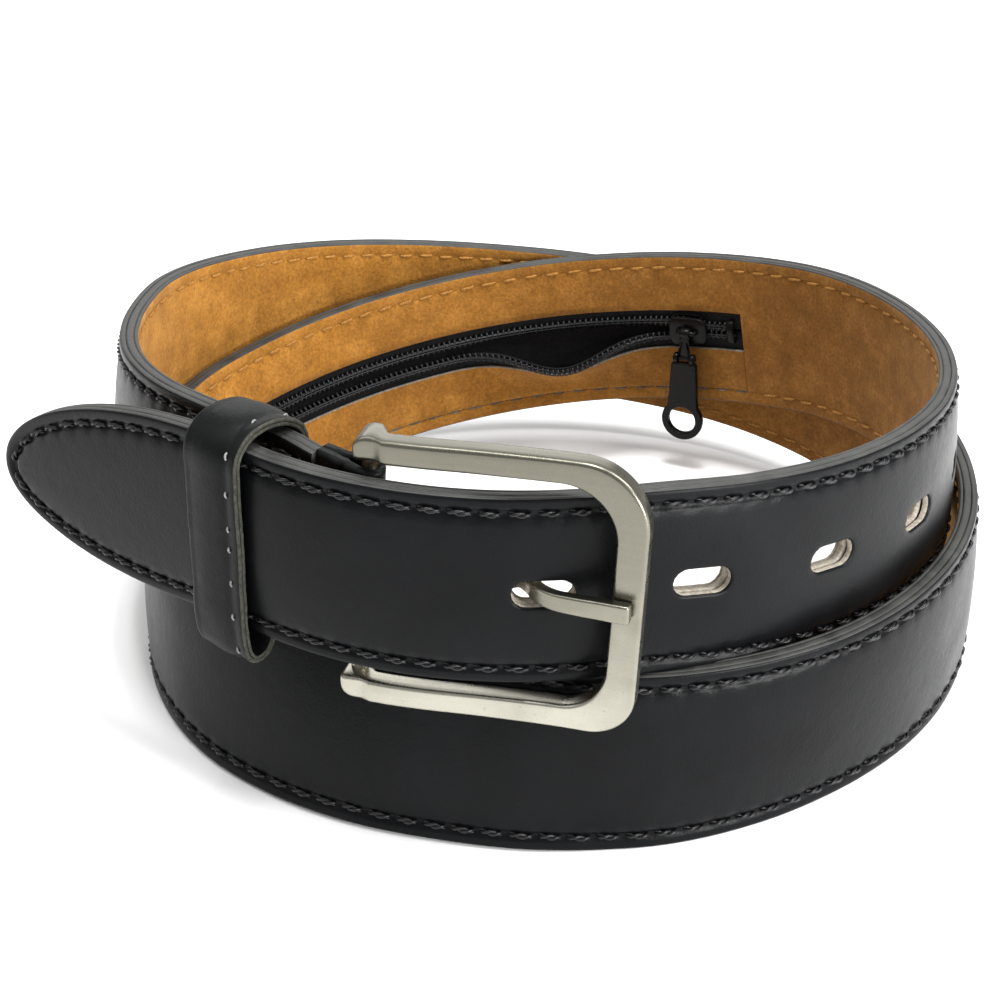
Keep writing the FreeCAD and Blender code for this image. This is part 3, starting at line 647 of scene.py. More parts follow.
def edge_paint_material():
    m = Shader("edge_paint", (0.03, 0.03, 0.03), 0.5, Specular_IOR_Level=0.3)
    fac = m.noise(160, 4, 0.6, at=m.coords(path=True))
    m.base(m.blend(fac, (0.014, 0.0145, 0.014), (0.044, 0.044, 0.040)))
    m.rough(m.spread(fac, 0.42, 0.62))
    m.bump(m.noise(500), 0.00025, 0.5)
    return m.mat


def thread_material(name, dark, light, rough):
    m = Shader(name, dark, rough, Specular_IOR_Level=0.3, Sheen_Weight=0.03)
    fac = m.noise(2600, 2)
    m.base(m.ramp(fac, [(0.35, dark), (0.65, light)]))
    m.bump(fac, 0.0001, 0.6)
    return m.mat


def fabric_material(name, dark, light, warp, weft):
    m = Shader(name, dark, 0.85, Specular_IOR_Level=0.15, Sheen_Weight=0.05)
    waves = [m.math("SINE", m.math("MULTIPLY", way, per_m * 2 * math.pi), 0.0)
             for way, per_m in zip(m.axes(m.coords(path=True)), (warp, weft))]
    weave = m.math("MULTIPLY", m.math("MULTIPLY", *waves), 0.3)
    fac = m.math("ADD", weave, m.noise(1200, 2))
    m.base(m.ramp(fac, [(0.2, dark), (0.8, light)]))
    m.bump(fac, 0.00012, 0.8)
    return m.mat


def coil_material():
    m = Shader("coil_nylon", (0.006, 0.006, 0.007), 0.34, Specular_IOR_Level=0.25)
    fac = m.noise(900)
    m.base(m.blend(fac, (0.004, 0.0042, 0.005), (0.011, 0.012, 0.014)))
    m.rough(m.spread(fac, 0.26, 0.42))
    return m.mat


def enamel_material():
    m = Shader("enamel_black", (0.003, 0.003, 0.003), 0.3, Specular_IOR_Level=0.12)
    fac = m.noise(260, 4)
    col = m.blend(fac, (0.0015, 0.0015, 0.0015), (0.004, 0.004, 0.004))
    m.base(m.dots(col, 1600, 2, 0.70, 0.78, (0.02, 0.02, 0.02), 0.5))
    m.rough(m.spread(fac, 0.2, 0.36))
    m.bump(m.noise(700), 0.00008, 0.4)
    return m.mat


def nickel_material():
    """Painted reflection: paler low on the buckle, where it would mirror the bright table, darker higher up."""
    m = Shader("satin_nickel", (0.24, 0.225, 0.185), 0.30, Metallic=1.0)
    brush = m.noise(1.0, 3, 0.6, at=m.coords((60, 60, 1800)))
    grain = m.noise(1700, 3, 0.6)
    # Painted reflection of the table: colour by height, pale at 28 mm up to dark at 78 mm
    height = m.math("ADD", m.span(m.axes(m.at)["Z"], 0.028, 0.078), m.spread(m.noise(60), -0.15, 0.15))
    col = m.ramp(height, [(0.0, (0.38, 0.365, 0.31)), (0.45, (0.19, 0.182, 0.147)),
                          (1.0, (0.15, 0.143, 0.115))])
    m.base(m.dots(col, 1500, 1, 0.70, 0.78, (0.13, 0.115, 0.09), 0.4))
    m.rough(m.math("ADD", m.spread(brush, 0.25, 0.34), m.spread(grain, -0.02, 0.02)))
    m.bump(brush, 0.00002, 0.25)
    m.bump(grain, 0.00001, 0.15)
    return m.mat


LEATHER = leather_material("leather_black", (0.0018, 0.0020, 0.0024), (0.0040, 0.0043, 0.0049), 0.34)
LEATHER_KEEPER = leather_material("leather_keeper", (0.0018, 0.0020, 0.0022), (0.0044, 0.0048, 0.0050), 0.42,
                                  grain=1.3)
SUEDE = suede_material()
RAW = fibre_material("raw_edge", (0.20, 0.175, 0.14), (0.55, 0.50, 0.42))
RAW_DARK = fibre_material("raw_edge_dark", (0.007, 0.0075, 0.006), (0.055, 0.055, 0.042))
RAW_GREY = fibre_material("cut_edge_grey", (0.10, 0.09, 0.075), (0.30, 0.27, 0.22))
EDGE = edge_paint_material()
THREAD = thread_material("thread_black", (0.0025, 0.0025, 0.003), (0.008, 0.008, 0.009), 0.34)
THREAD_TAN = thread_material("thread_tan", (0.16, 0.068, 0.009), (0.34, 0.155, 0.026), 0.7)
THREAD_PALE = thread_material("thread_grey", (0.13, 0.13, 0.13), (0.30, 0.30, 0.29), 0.5)
TAPE = fabric_material("zip_tape_weave", (0.003, 0.003, 0.0035), (0.010, 0.010, 0.011), 1000, 1400)
CLOTH = fabric_material("pocket_cloth_weave", (0.003, 0.003, 0.0035), (0.011, 0.011, 0.012), 1600, 1600)
COIL = coil_material()
ENAMEL = enamel_material()
NICKEL = nickel_material()

# --- strap: leather, edge core, lining
TAIL = [0.10, 0.25, 0.4, 0.55, 0.7, 0.85]
leather = StrapLayer(
    front=[(0.0, 0.62), (-0.03, 0.9), (0.0, 1.25), (0.10, 1.52), (0.32, 1.70), (0.75, 1.77), (1.4, 1.76),
           (1.85, 1.66), (2.2, 1.46), (SEAM, 1.36), (3.2, 1.44), (3.55, 1.68), (3.95, 1.86)],
    back=[(0.16, 0.52)], tail=TAIL,
    front_w=lambda f, length: 1.90 + crown(f, length), back_w=0.52)
leather.mat_of = [int(min(c, leather.front_end - c) < 3) for c in range(len(leather.cols))]
leather.pucker({2.2: -0.10, SEAM: -0.26, 3.2: -0.30, 3.55: -0.26, 3.95: -0.12})
HOLE_STEPS = [(1.6, 0.0, 0.35), (0.9, 0.0, 0.10), (0.5, 0.03, 0.0), (0.28, 0.10, 0.0), (0.10, 0.24, 0.0),
              (0.0, 0.48, 0.0)]
for s_hole in HOLES:
    leather.hole(s_hole, 0.0, HOLE_STEPS, 2, 0)
strap_leather = leather.build("strap_leather", [LEATHER, EDGE, RAW], sag=0.07)
piece(strap_leather, "belt", ["strap_outer"])


def strip_mesh(name, runs, loop, mats, face_mat=None, warp=unfolded):
    """Closed strip along the strap: loop(run) gives its section as (height, offset) rows."""
    rows = np.array([loop(s) for s in runs])
    j, k = rows.shape[:2]
    s = np.repeat(np.asarray(runs)[:, None], k, 1)
    h, w = rows[..., 0], rows[..., 1]
    shw = np.stack([s, h, w], -1).reshape(-1, 3)
    v = place(s, *warp(s, h, w)).reshape(-1, 3)
    face_mat = (face_mat or [0] * k) * (j - 1) + [0, 0]
    return add_mesh(name, v, closed_faces(j, k), mats, face_mat, shw)


def runs_between(a, b, step):
    return np.linspace(a, b, max(2, int(round((b - a) / step)) + 1))


# The stiffener: two full lengths and the two rails beside the pocket
for name, replaced, holes, rays in (
        ("core_buckle_side", "strap_core_buckle_side", [], {"s_from": S0, "s_to": S_ZIP0}),
        ("core_tip_side", "strap_core_tip_side", HOLES, {"s_from": S_ZIP1})):
    core = StrapLayer(front=[(0.16, 0.50)], back=[(0.0, -0.99)], tail=TAIL, front_w=0.50, back_w=-0.99, **rays)
    core.mat_of = [0] * len(core.cols)
    for s_hole in holes:
        core.hole(s_hole, 0.12, [(1.6, 0.0, 0.35), (0.5, 0.0, 0.0), (0.0, 0.0, 0.0)], 1, 1)
    piece(core.build(name, [EDGE, RAW]), "belt", [replaced])

# The painted band between leather and lining, along both edges and round the tip
BEAD = np.array([(0.16, 0.50), (0.02, 0.40), (-0.05, 0.15), (-0.07, -0.25), (-0.05, -0.65), (0.02, -0.90),
                 (0.16, -0.99), (0.9, -0.99), (0.9, 0.50)])
starts, inward = (mirrored(a) for a in outline_rays()[:2])
p = starts[:, None, :] + inward[:, None, :] * BEAD[None, :, 0:1]
shw = np.stack([p[..., 0], p[..., 1], np.broadcast_to(BEAD[None, :, 1], p.shape[:2])], -1).reshape(-1, 3)
bead = add_mesh("edge_bead", place(*shw.T), closed_faces(len(starts), len(BEAD)), [EDGE], None, shw)
piece(bead, "belt")
ZIP_RUNS = runs_between(S_ZIP0, S_ZIP1, 1.2)
for rail, h0, h1 in (("upper", RAIL_H, HALF_W - 0.5), ("lower", -HALF_W + 0.5, -RAIL_H)):
    ob = strip_mesh("rail_" + rail, ZIP_RUNS, lambda s: [(h0, -0.98), (h0, 0.49), (h1, 0.49), (h1, -0.98)],
                    [CLOTH])
    piece(ob, "belt", ["pocket_rail_" + rail])

# Suede lining with the pocket's slot
LTAIL = [0.10, 0.25, 0.4, 0.55, (SLOT_H - HALF_W + MARGIN) / -(HALF_W - MARGIN), 0.85]
lining = StrapLayer(
    front=[(0.14, -1.04)],
    back=[(0.0, -1.10), (-0.03, -1.35), (0.02, -1.62), (0.22, -1.78), (0.7, -1.83), (1.7, -1.84), (2.3, -1.78),
          (SEAM, -1.64), (HALF_W - LIP_ROOT - 0.05, -1.68), (3.5, -1.80)],
    tail=LTAIL, front_w=-1.04, back_w=-1.84, keep=(S_ZIP0, S_ZIP1))
lining.mat_of = [int(c < 1 or lining.front_end <= c < lining.front_end + 4 or c > len(lining.cols) - 5)
                 for c in range(len(lining.cols))]
lining.pucker({2.3: 0.12, SEAM: 0.30, 3.5: 0.12})
lining.slot(S_ZIP0, S_ZIP1, -(len(LTAIL) + 2), 2, 2)
for s_hole in HOLES:
    lining.hole(s_hole, 0.1, [(1.6, 0.0, 0.35), (0.7, 0.0, 0.1), (0.3, 0.04, 0.0), (0.08, 0.14, 0.0),
                              (0.0, 0.26, 0.0)], 2, 2)
strap_suede = lining.build("strap_suede", [SUEDE, EDGE, RAW_GREY], sag=-0.09)
piece(strap_suede, "belt", ["strap_lining"])


# --- stitching
def stitches(name, mat, w_mid, rise, length, radius, lean, plies, skip=None, outward=1.0):
    """Stitches down the upper edge, round the tip and back along the lower edge."""
    pts = mirrored(outline_rays()[0] + outline_rays()[1] * SEAM)
    run = run_along(pts)
    half = (len(run) - 1) // 2
    mids = np.arange(PITCH / 2, run[half] - 1.0, PITCH)
    mids = np.concatenate([mids, run[-1] - mids[::-1]])
    if skip is not None:
        keep = [not skip(np.interp(m, run, pts[:, 0]), np.interp(m, run, pts[:, 1])) for m in mids]
        mids = mids[np.array(keep)]
    rng = np.random.default_rng(11)
    x = np.linspace(-1, 1, 11)
    jig = rng.normal(0, 1, (len(mids), 3))
    r = mids[:, None] + x[None, :] * (length / 2) * (1 + 0.04 * jig[:, :1])
    s = np.interp(r, run, pts[:, 0])
    h = np.interp(r, run, pts[:, 1])
    across = (lean * x[None, :] + 0.05 * jig[:, 1:2]) * np.sign(h)
    w = w_mid + outward * (rise * (1 - np.abs(x) ** 3.2)[None, :] + 0.04 * jig[:, 2:3] - 0.25 * rise)
    h = h + across
    n = look_up(N_TAB, s.ravel()).reshape(s.shape + (3,)) * outward
    base = place(s, h, w)
    b = np.cross(unit_rows(np.gradient(base, axis=1)), n)
    fat = radius * np.sqrt(np.maximum(0.05, 1 - np.abs(x) ** 4)) * MM
    off = 0.62 * radius * MM if plies > 1 else 0.0
    threads = []
    for p in range(plies):
        turn = 2 * math.pi * (p / plies) + x * 3.4
        path = base + (b * np.cos(turn)[None, :, None] + n * np.sin(turn)[None, :, None]) * off
        threads.append(tubes(path, n, fat * (0.68 if plies > 1 else 1.0)))
    return add_mesh(name, *merge(threads), [mat])


piece(stitches("stitches_outside", THREAD, 1.28, 0.62, 4.1, 0.46, 0.22, 2), "belt")


def in_pocket(s, h):
    return S_ZIP0 - 1 < s < S_ZIP1 + 1 and h < 0


piece(stitches("stitches_lining", THREAD_TAN, -1.60, 0.30, 3.4, 0.34, 0.12, 1, in_pocket, outward=-1.0), "belt")

# --- pocket: lip, tapes, coils, cloth
LIP_TOP = -SLOT_H


def lip_loop(s):
    hs = [-LIP_ROOT, -13.6, -12.8, -12.0, -11.0, -10.0, -9.0, -8.0, -7.0, -6.0, -5.2, LIP_TOP - 0.25]
    wob = 0.12 * noise.noise(Vector((s * 0.11, 4.0, 2.0)))
    out = [(h, -1.80 + wob * (h + LIP_ROOT) / 10) for h in hs]
    out += [(LIP_TOP - 0.05, -1.70), (LIP_TOP, -1.45), (LIP_TOP - 0.05, -1.18), (LIP_TOP - 0.25, -1.06)]
    return out + [(h, -1.04) for h in reversed(hs[:-1])]


LIP_FACES = [0] * 11 + [1, 1, 1, 1] + [1] * 12
lip = strip_mesh("pocket_lip_suede", runs_between(S_ZIP0 + 0.05, S_ZIP1 - 0.05, 0.9), lip_loop,
                 [SUEDE, RAW_GREY], LIP_FACES, folded)
piece(lip, "belt", ["pocket_lip"])

TAPE_RUNS = runs_between(S_ZIP0 + 0.12, S_ZIP1 - 0.12, 0.9)
TAPE_RUNS = runs_between(S_ZIP0 + 0.12, S_ZIP1 - 0.12, 0.9)


def tape_loop(s):
    low = float(parted(s)) + 0.25
    hs = np.linspace(low, 9.2, 9)
    return [(h, -0.97 + 0.03 * math.sin(h * 2.2)) for h in hs] + [(h, -0.62) for h in hs[::-1]]


upper_tape = strip_mesh("tape_upper", TAPE_RUNS, tape_loop, [TAPE])
lower_tape = strip_mesh("tape_lower", TAPE_RUNS, lambda s: [(-h, w) for h, w in tape_loop(s)], [TAPE],
                        warp=folded)
piece(upper_tape, "belt", ["zipper_tape_upper"])
piece(lower_tape, "belt", ["zipper_tape_lower"])
CLOTH_HS = np.linspace(-9.6, 9.6, 14)


def cloth_loop(s):
    slack = [(h, 0.24 + 0.05 * math.sin(s * 0.5 + h * 0.4) + 0.03 * math.sin(s * 1.3)) for h in CLOTH_HS]
    return slack + [(h, 0.42) for h in np.linspace(9.6, -9.6, 14)]


cloth = strip_mesh("pocket_cloth", runs_between(S_ZIP0 - 0.2, S_ZIP1 + 0.2, 1.0), cloth_loop, [CLOTH])
piece(cloth, "belt", ["pocket_bag"])

TOOTH = 1.3
TOOTH_LINE = np.array([(0.30, 1.85, -1.22), (0.30, 1.72, -1.75), (0.24, 1.35, -2.02), (0.10, 0.8, -2.10),
                       (-0.02, 0.3, -2.05), (-0.10, -0.02, -1.82), (-0.12, -0.08, -1.55), (-0.06, 0.05, -1.28),
                       (0.06, 0.6, -1.12), (0.2, 1.5, -1.10)])
TOOTH_FAT = np.array([0.2, 0.27, 0.30, 0.31, 0.31, 0.33, 0.33, 0.3, 0.27, 0.2])
# The cord inside the loops and the sewing that holds them down: height, offset, radius
CORDS = ((0.95, -1.58, 0.34), (1.15, -2.36, 0.15), (0.62, -2.36, 0.15))


def coil(name, side, warp, replaced):
    start = S_ZIP0 + 1.7 + (TOOTH / 2 if side < 0 else 0.0)
    at_run = start + np.arange(int((S_ZIP1 - S_ZIP0 - 3.4) / TOOTH)) * TOOTH
    s = at_run[:, None] + TOOTH_LINE[None, :, 0]
    h = side * (parted(at_run)[:, None] + TOOTH_LINE[None, :, 1])
    w = np.broadcast_to(TOOTH_LINE[None, :, 2], s.shape)
    along = look_up(T_TAB, s.ravel()).reshape(s.shape + (3,))
    parts = [tubes(place(s, *warp(s, h, w)), along, TOOTH_FAT * MM)]
    run = runs_between(at_run[0] - 0.5, at_run[-1] + 0.5, 0.6)
    for mid, off, rad in CORDS:
        hh = side * (parted(run) + mid)
        ww = np.full_like(run, off) + (0.10 * np.cos(2 * math.pi * (run - start) / TOOTH) if rad < 0.3 else 0.0)
        parts.append(tubes(place(run, *warp(run, hh, ww))[None], look_up(N_TAB, run)[None], rad * MM))
    return piece(add_mesh(name, *merge(parts), [COIL]), "belt", [replaced])


coil("coil_upper", 1, unfolded, "zipper_coil_upper")
coil("coil_lower", -1, folded, "zipper_coil_lower")


# --- small metal pieces
def frame_matrix(origin, x, y, z):
    """Local millimetres to scene metres."""
    rows = [[x[i] * MM, y[i] * MM, z[i] * MM, (origin[i] + SHIFT[i]) * MM] for i in range(3)]
    return Matrix(rows + [[0, 0, 0, 1]])


def arc_matrix(a):
    p = arc_point(a)
    out = unit(p - ARC_C)
    return frame_matrix(p, -np.cross(ARC_N, out), ARC_N, -out)


def outset(points, amount):
    """Moves a closed, roughly convex outline out along its normals."""
    p = np.asarray(points, float)
    t = unit_rows(np.roll(p, -1, 0) - np.roll(p, 1, 0))
    n = np.stack([t[:, 1], -t[:, 0]], 1)
    area = 0.5 * np.sum(p[:, 0] * np.roll(p[:, 1], -1) - np.roll(p[:, 0], -1) * p[:, 1])
    return p + n * amount * (1 if area > 0 else -1)


def plate(outline, z0, z1, r, dome=0.0):
    """Plate with rolled edges, in local millimetres."""
    rings = [(-r, z0), (-r * 0.3, z0 + r * 0.3), (0, z0 + r), (0, z1 - r), (-r * 0.3, z1 - r * 0.3), (-r, z1)]
    loops = [(outset(outline, out), z) for out, z in rings]
    loops += [(np.asarray(outline) * 0.6, z1 + dome * 0.7), (np.asarray(outline) * 0.3, z1 + dome)]
    v = np.concatenate([np.column_stack([p, np.full(len(outline), z)]) for p, z in loops])
    return v, closed_faces(len(loops), len(outline))


def rod(points, r, sides=12, hint=(0, 0, 1)):
    """Round bar with rounded ends along points, in local units."""
    p = np.asarray(points, float)
    a, b = unit(p[0] - p[1]), unit(p[-1] - p[-2])
    steps = [(0.38, 0.92), (0.75, 0.66), (0.96, 0.26)]
    rad = np.array([r * k for _, k in reversed(steps)] + [r] * len(p) + [r * k for _, k in steps])
    start = [p[0] + a * r * d for d, _ in reversed(steps)]
    p = np.array(start + list(p) + [p[-1] + b * r * d for d, _ in steps])
    return tubes(p[None], np.broadcast_to(np.asarray(hint, float), p.shape)[None], rad, sides)


def ring_eye(inner, outer, width, r=0.15, n=28):
    """Eye whose hole runs along x, centred."""
    prof = [(outer - r, -width / 2), (outer, -width / 2 + r), (outer, width / 2 - r), (outer - r, width / 2),
            (inner + r, width / 2), (inner, width / 2 - r), (inner, -width / 2 + r), (inner + r, -width / 2)]
    v = [(x, rr * math.cos(a), rr * math.sin(a)) for a in np.arange(n) / n * 2 * math.pi for rr, x in prof]
    return np.array(v), grid_faces(n, len(prof), wrap_rows=True)


def arc_pts(cx, cy, r, a0, a1, n):
    a = np.radians(np.linspace(a0, a1, n))
    return np.stack([cx + r * np.cos(a), cy + r * np.sin(a)], 1)


def local_piece(name, parts, matrix, mats, face_mats=None):
    v, f = merge(parts)
    m = np.array(matrix)
    return add_mesh(name, v @ m[:3, :3].T + m[:3, 3], f, mats, face_mats)


P_S = arc_point(SLIDER_AT)
OUT_S = unit(P_S - ARC_C)
T_S = -np.cross(ARC_N, OUT_S)
ROUND = np.radians(np.arange(48) / 48 * 360)


def squared_oval(a, b, power):
    c, s = np.cos(ROUND), np.sin(ROUND)
    return np.stack([a * np.sign(c) * np.abs(c) ** power, b * np.sign(s) * np.abs(s) ** power], 1)


shield_w = 3.15 + 0.5 * smooth((1.5 - 4.5 * np.cos(ROUND)) / 5)
slider_parts = [plate(squared_oval(4.5, shield_w, 0.55), 2.45, 3.35, 0.28, 0.22),
                plate(squared_oval(4.0, 1.75, 0.6), 0.02, 0.52, 0.12)]
for y0 in (-3.3, 3.3):
    lip_line = [(-3.4, y0, 2.5), (-3.3, y0, 1.6), (-2.6, y0, 1.3), (0, y0, 1.22), (2.4, y0 * 0.93, 1.3),
                (3.0, y0 * 0.9, 1.7), (3.2, y0 * 0.88, 2.5)]
    slider_parts.append(rod(lip_line, 0.3, 8, (0, 1, 0)))
slider_parts.append(rod([(-3.3, 0, 0.3), (-3.3, 0, 1.4), (-3.3, 0, 2.7)], 0.72, 12, (0, 1, 0)))
HANG_X = unit(np.array([T_S[0], T_S[1], 0.0]))
HANG_Y = np.cross(UP, HANG_X)
BAIL = P_S - OUT_S * 4.75 + ARC_N * 0.2
hang_m = frame_matrix(BAIL, HANG_X, HANG_Y, UP)
slider = local_piece("slider_shield", slider_parts, arc_matrix(SLIDER_AT), [ENAMEL])
toward = 1.0 if np.dot(HANG_Y, OUT_S) > 0 else -1.0
arch = [(-2.05, 1.7), (-2.1, 0.9), (-1.9, 0.3), (-1.5, 0), (0, 0), (1.5, 0), (1.9, 0.3), (2.1, 0.9),
        (2.05, 1.7)]
bail = local_piece("slider_bail", [rod([(x, toward * y, 0) for x, y in arch], 0.53, 14)], hang_m, [ENAMEL])
piece(slider, "slider", ["slider_body"])
piece(bail, "slider")


def upright(part):
    v, f = part
    return np.stack([v[:, 0], -v[:, 2], v[:, 1]], 1), f


link_outline = [(-1.1, -0.9), (-1.15, -2.5), (-1.0, -4.2), (-1.1, -5.6),
                (1.1, -5.6), (1.0, -4.2), (1.15, -2.5), (1.1, -0.9)]
link_parts = [ring_eye(0.62, 1.22, 2.3, 0.2), upright(plate(link_outline, -0.42, 0.42, 0.2)),
              rod([(x, 0, -LINK_DROP) for x in (-2.3, -1, 1, 2.3)], 0.53, 14)]
link = local_piece("pull_link_plate", link_parts, hang_m, [ENAMEL])
piece(link, "link", ["pull_link"])

RING_OUT, RING_IN = RING_R + 0.2, RING_HOLE + 0.15
RING_Z = -LINK_DROP - TAB_L - RING_R + 1.9
SHOULDER_Z, SHOULDER_X, SHOULDER_R = -LINK_DROP - 1.8, 2.2, 0.8
TAB_SIDE, HIP_X = [(3.25, -12.0), (3.3, -14.5)], 3.45     # down the tab's side, to where the ring takes over


def flat_piece(outline, hole, half, bevel):
    """Bevelled plate with a round hole, standing in x and z."""
    cu = bpy.data.curves.new("tab", "CURVE")
    cu.dimensions, cu.fill_mode = "2D", "BOTH"
    cu.extrude, cu.bevel_depth, cu.bevel_resolution, cu.offset = half - bevel, bevel, 3, -bevel
    for pts in (outline, hole):
        sp = cu.splines.new("POLY")
        sp.points.add(len(pts) - 1)
        for q, (x, z) in zip(sp.points, pts):
            q.co = (x, z, 0, 1)
        sp.use_cyclic_u = True
    tmp = add_object("tab_c", cu)
    bpy.context.view_layer.update()
    me = bpy.data.meshes.new_from_object(tmp.evaluated_get(bpy.context.evaluated_depsgraph_get()))
    bpy.data.objects.remove(tmp)
    v = np.array([q.co[:] for q in me.vertices])
    f = [tuple(q.vertices) for q in me.polygons]
    bpy.data.meshes.remove(me)
    return upright((v, f))


hip = math.degrees(math.acos(HIP_X / RING_OUT))
outline = np.concatenate([
    arc_pts(-SHOULDER_X, SHOULDER_Z, SHOULDER_R, 180, 90, 5),
    arc_pts(SHOULDER_X, SHOULDER_Z, SHOULDER_R, 90, 0, 5),
    TAB_SIDE, arc_pts(0, RING_Z, RING_OUT, hip - 4, -180 - hip + 4, 44), [(-x, z) for x, z in TAB_SIDE[::-1]]])
tab_parts = [flat_piece(outline, arc_pts(0, RING_Z, RING_IN, 0, 351, 40), 0.72, 0.32)]
for x in (-1.9, 1.9):
    v, f = ring_eye(0.62, 1.2, 1.0, 0.16)
    tab_parts.append((v + [x, 0, -LINK_DROP], f))
    neck = [(x + dx, -LINK_DROP - dz) for dx, dz in ((-0.45, 0.9), (-0.45, 2.0), (0.45, 2.0), (0.45, 0.9))]
    tab_parts.append(upright(plate(neck, -0.5, 0.5, 0.15)))
tab = local_piece("pull_tab_plate", tab_parts, hang_m, [ENAMEL])
piece(tab, "tab", ["pull_tab"])


def staple(length, height, z_top, thick):
    """A folded clip over the coils: a bridge with two feet."""
    half = height / 2
    line = [(0, -half, 0.98), (0, -half, z_top - 0.35), (0, -half + 0.3, z_top), (0, 0, z_top + 0.06),
            (0, half - 0.3, z_top), (0, half, z_top - 0.35), (0, half, 0.98)]
    v, f = rod(line, thick, 10, (1, 0, 0))
    v = np.array(v)
    v[:, 0] *= length / (2 * thick)
    return v, f


stop = local_piece("bottom_stop_clip", [staple(1.8, 4.9, 2.55, 0.25)], arc_matrix(ZIP_RIGHT + 1.9), [ENAMEL])
piece(stop, "belt", ["zipper_bottom_stop"])
for label, sgn in (("upper", 1), ("lower", -1)):
    v, f = staple(1.6, 2.35, 2.45, 0.22)
    clip = local_piece("top_stop_" + label + "_clip", [(v + [0, sgn * (1.10 + COIL_W / 2), 0], f)],
                       arc_matrix(ZIP_LEFT - 1.6), [ENAMEL])
    piece(clip, "belt", ["zipper_top_stop_" + label])

# --- buckle
BX = np.array([math.cos(BUCKLE_YAW), math.sin(BUCKLE_YAW), 0.0])
BY = np.cross(UP, BX)
BAR_AXIS = BX * math.sin(BAR_TILT) + UP * math.cos(BAR_TILT)
bar_m = frame_matrix(BAR, BX, BY, UP)
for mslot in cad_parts["buckle_bar"].material_slots:
    mslot.material = NICKEL

FRAME_LEN, FRAME_H, ARM_H, END_W, FRAME_T, EYE_OUT = 46.3, 50.8, 4.4, 5.4, 4.2, 2.4
END_LEAN, LEAN_FROM, LEAN_RUN = 0.06, 16, 16
EYE_MID, EYE_HALF = -0.85, 3.2              # across the frame, at the eyes
EYE_RUN, EYE_EASE, NECK = 3.4, 2.6, 12      # along the arms, from the eye
FRAME_LINE = np.array([(2.4, -2.85), (5.0, -3.05), (9.4, -3.1), (21.4, -2.6), (33.4, -2.4), (41.4, -2.8),
                       (49.4, -3.7), (51.8, -4.1)])
line_at = monotone_curve(FRAME_LINE[:, 0], FRAME_LINE[:, 1])
X_OUT, X_IN = FRAME_LEN + END_W / 2, FRAME_LEN - END_W / 2
Z_OUT, Z_IN = FRAME_H / 2, FRAME_H / 2 - ARM_H
R_OUT, R_IN, R_EYE, R_PINCH = {1: 12.0, -1: 7.8}, {1: 10.0, -1: 8.0}, 2.6, 0.7     # 1 upper half, -1 lower


def corner_section(half_u, half_t, r, steps=4):
    """Rectangle with rounded corners as (u, t) rows, with points to hold its flats."""
    out = []
    for a0, su, st in ((0, 1, 1), (90, -1, 1), (180, -1, -1), (270, 1, -1)):
        for a in np.radians(np.linspace(a0, a0 + 90, steps + 1)):
            out.append((su * (half_u - r) + r * math.cos(a), st * (half_t - r) + r * math.sin(a)))
        nxt = {0: (-1, 1), 90: (-1, -1), 180: (1, -1), 270: (1, 1)}[a0]
        last = out[-1]
        first = (nxt[0] * (half_u - r) + r * math.cos(math.radians(a0 + 90)),
                 nxt[1] * (half_t - r) + r * math.sin(math.radians(a0 + 90)))
        out += [(last[0] + (first[0] - last[0]) * k, last[1] + (first[1] - last[1]) * k) for k in (0.33, 0.67)]
    return np.array(out)


def half_frame(sign):
    """Matched outer and inner outline points of one half, from the eye to the end bar's middle."""
    lean = sign * (Z_OUT - ARM_H / 2) * math.tan(BAR_TILT)
    start = lean - EYE_OUT
    r_out, r_in = R_OUT[sign], R_IN[sign]
    steps = np.array([0.02, 0.12, 0.35, 0.8, 1.4, 2.0, 2.6, 3.2, 3.8, 4.4, 5.0, 5.6, 6.2, 7.0, 8.0, 9.5])
    rows = []
    for x in np.concatenate([start + steps, np.linspace(start + NECK, X_OUT - r_out - 1.5, 12)]):
        dx = x - start
        nip, pinch = (r - math.sqrt(max(0.0, r ** 2 - max(0.0, r - dx) ** 2)) for r in (R_EYE, R_PINCH))
        k = smooth((x - start - NECK) / (X_OUT - r_out - start - NECK))
        rows.append((x, Z_OUT - nip, x + k * (X_IN - r_in - X_OUT + r_out), Z_IN + pinch, dx))
    for k in np.linspace(0, 1, 19):
        a = math.radians(90 * (1 - k))
        rows.append((X_OUT - r_out + r_out * math.cos(a), Z_OUT - r_out + r_out * math.sin(a),
                     X_IN - r_in + r_in * math.cos(a), Z_IN - r_in + r_in * math.sin(a), 99.0))
    for k in np.linspace(0, 1, 9)[1:]:
        rows.append((X_OUT, (Z_OUT - r_out) * (1 - k), X_IN, (Z_IN - r_in) * (1 - k), 99.0))
    rows = np.array(rows) * [1, sign, 1, sign, 1]
    for x_col, z_col in ((0, 1), (2, 3)):
        rows[:, x_col] += END_LEAN * rows[:, z_col] * np.clip((rows[:, x_col] - LEAN_FROM) / LEAN_RUN, 0, 1)
    return rows


both = np.concatenate([half_frame(1), half_frame(-1)[::-1][1:]])
verts = []
for ox, oz, ix, iz, dx in both:
    mid = np.array([(ox + ix) / 2, (oz + iz) / 2])
    half_u = math.hypot(ox - ix, oz - iz) / 2
    way = np.array([ox - ix, oz - iz]) / (2 * half_u)
    k = float(smooth((dx - EYE_RUN) / EYE_EASE))
    end = math.sqrt(max(0.04, 1 - max(0.0, 1 - dx / 0.8) ** 2))
    half_t = (EYE_HALF + (FRAME_T / 2 - EYE_HALF) * k) * (0.75 + 0.25 * end)
    for u, t in corner_section(half_u, half_t, min(0.8, half_u * 0.8)):
        x, z = mid + way * u
        y = EYE_MID + (float(line_at(max(x, FRAME_LINE[0, 0]))) - EYE_MID) * k
        verts.append((x, y + t, z))
hoop = (verts, closed_faces(len(both), len(verts) // len(both)))
buckle = local_piece("buckle_hoop", [hoop], bar_m, [NICKEL])
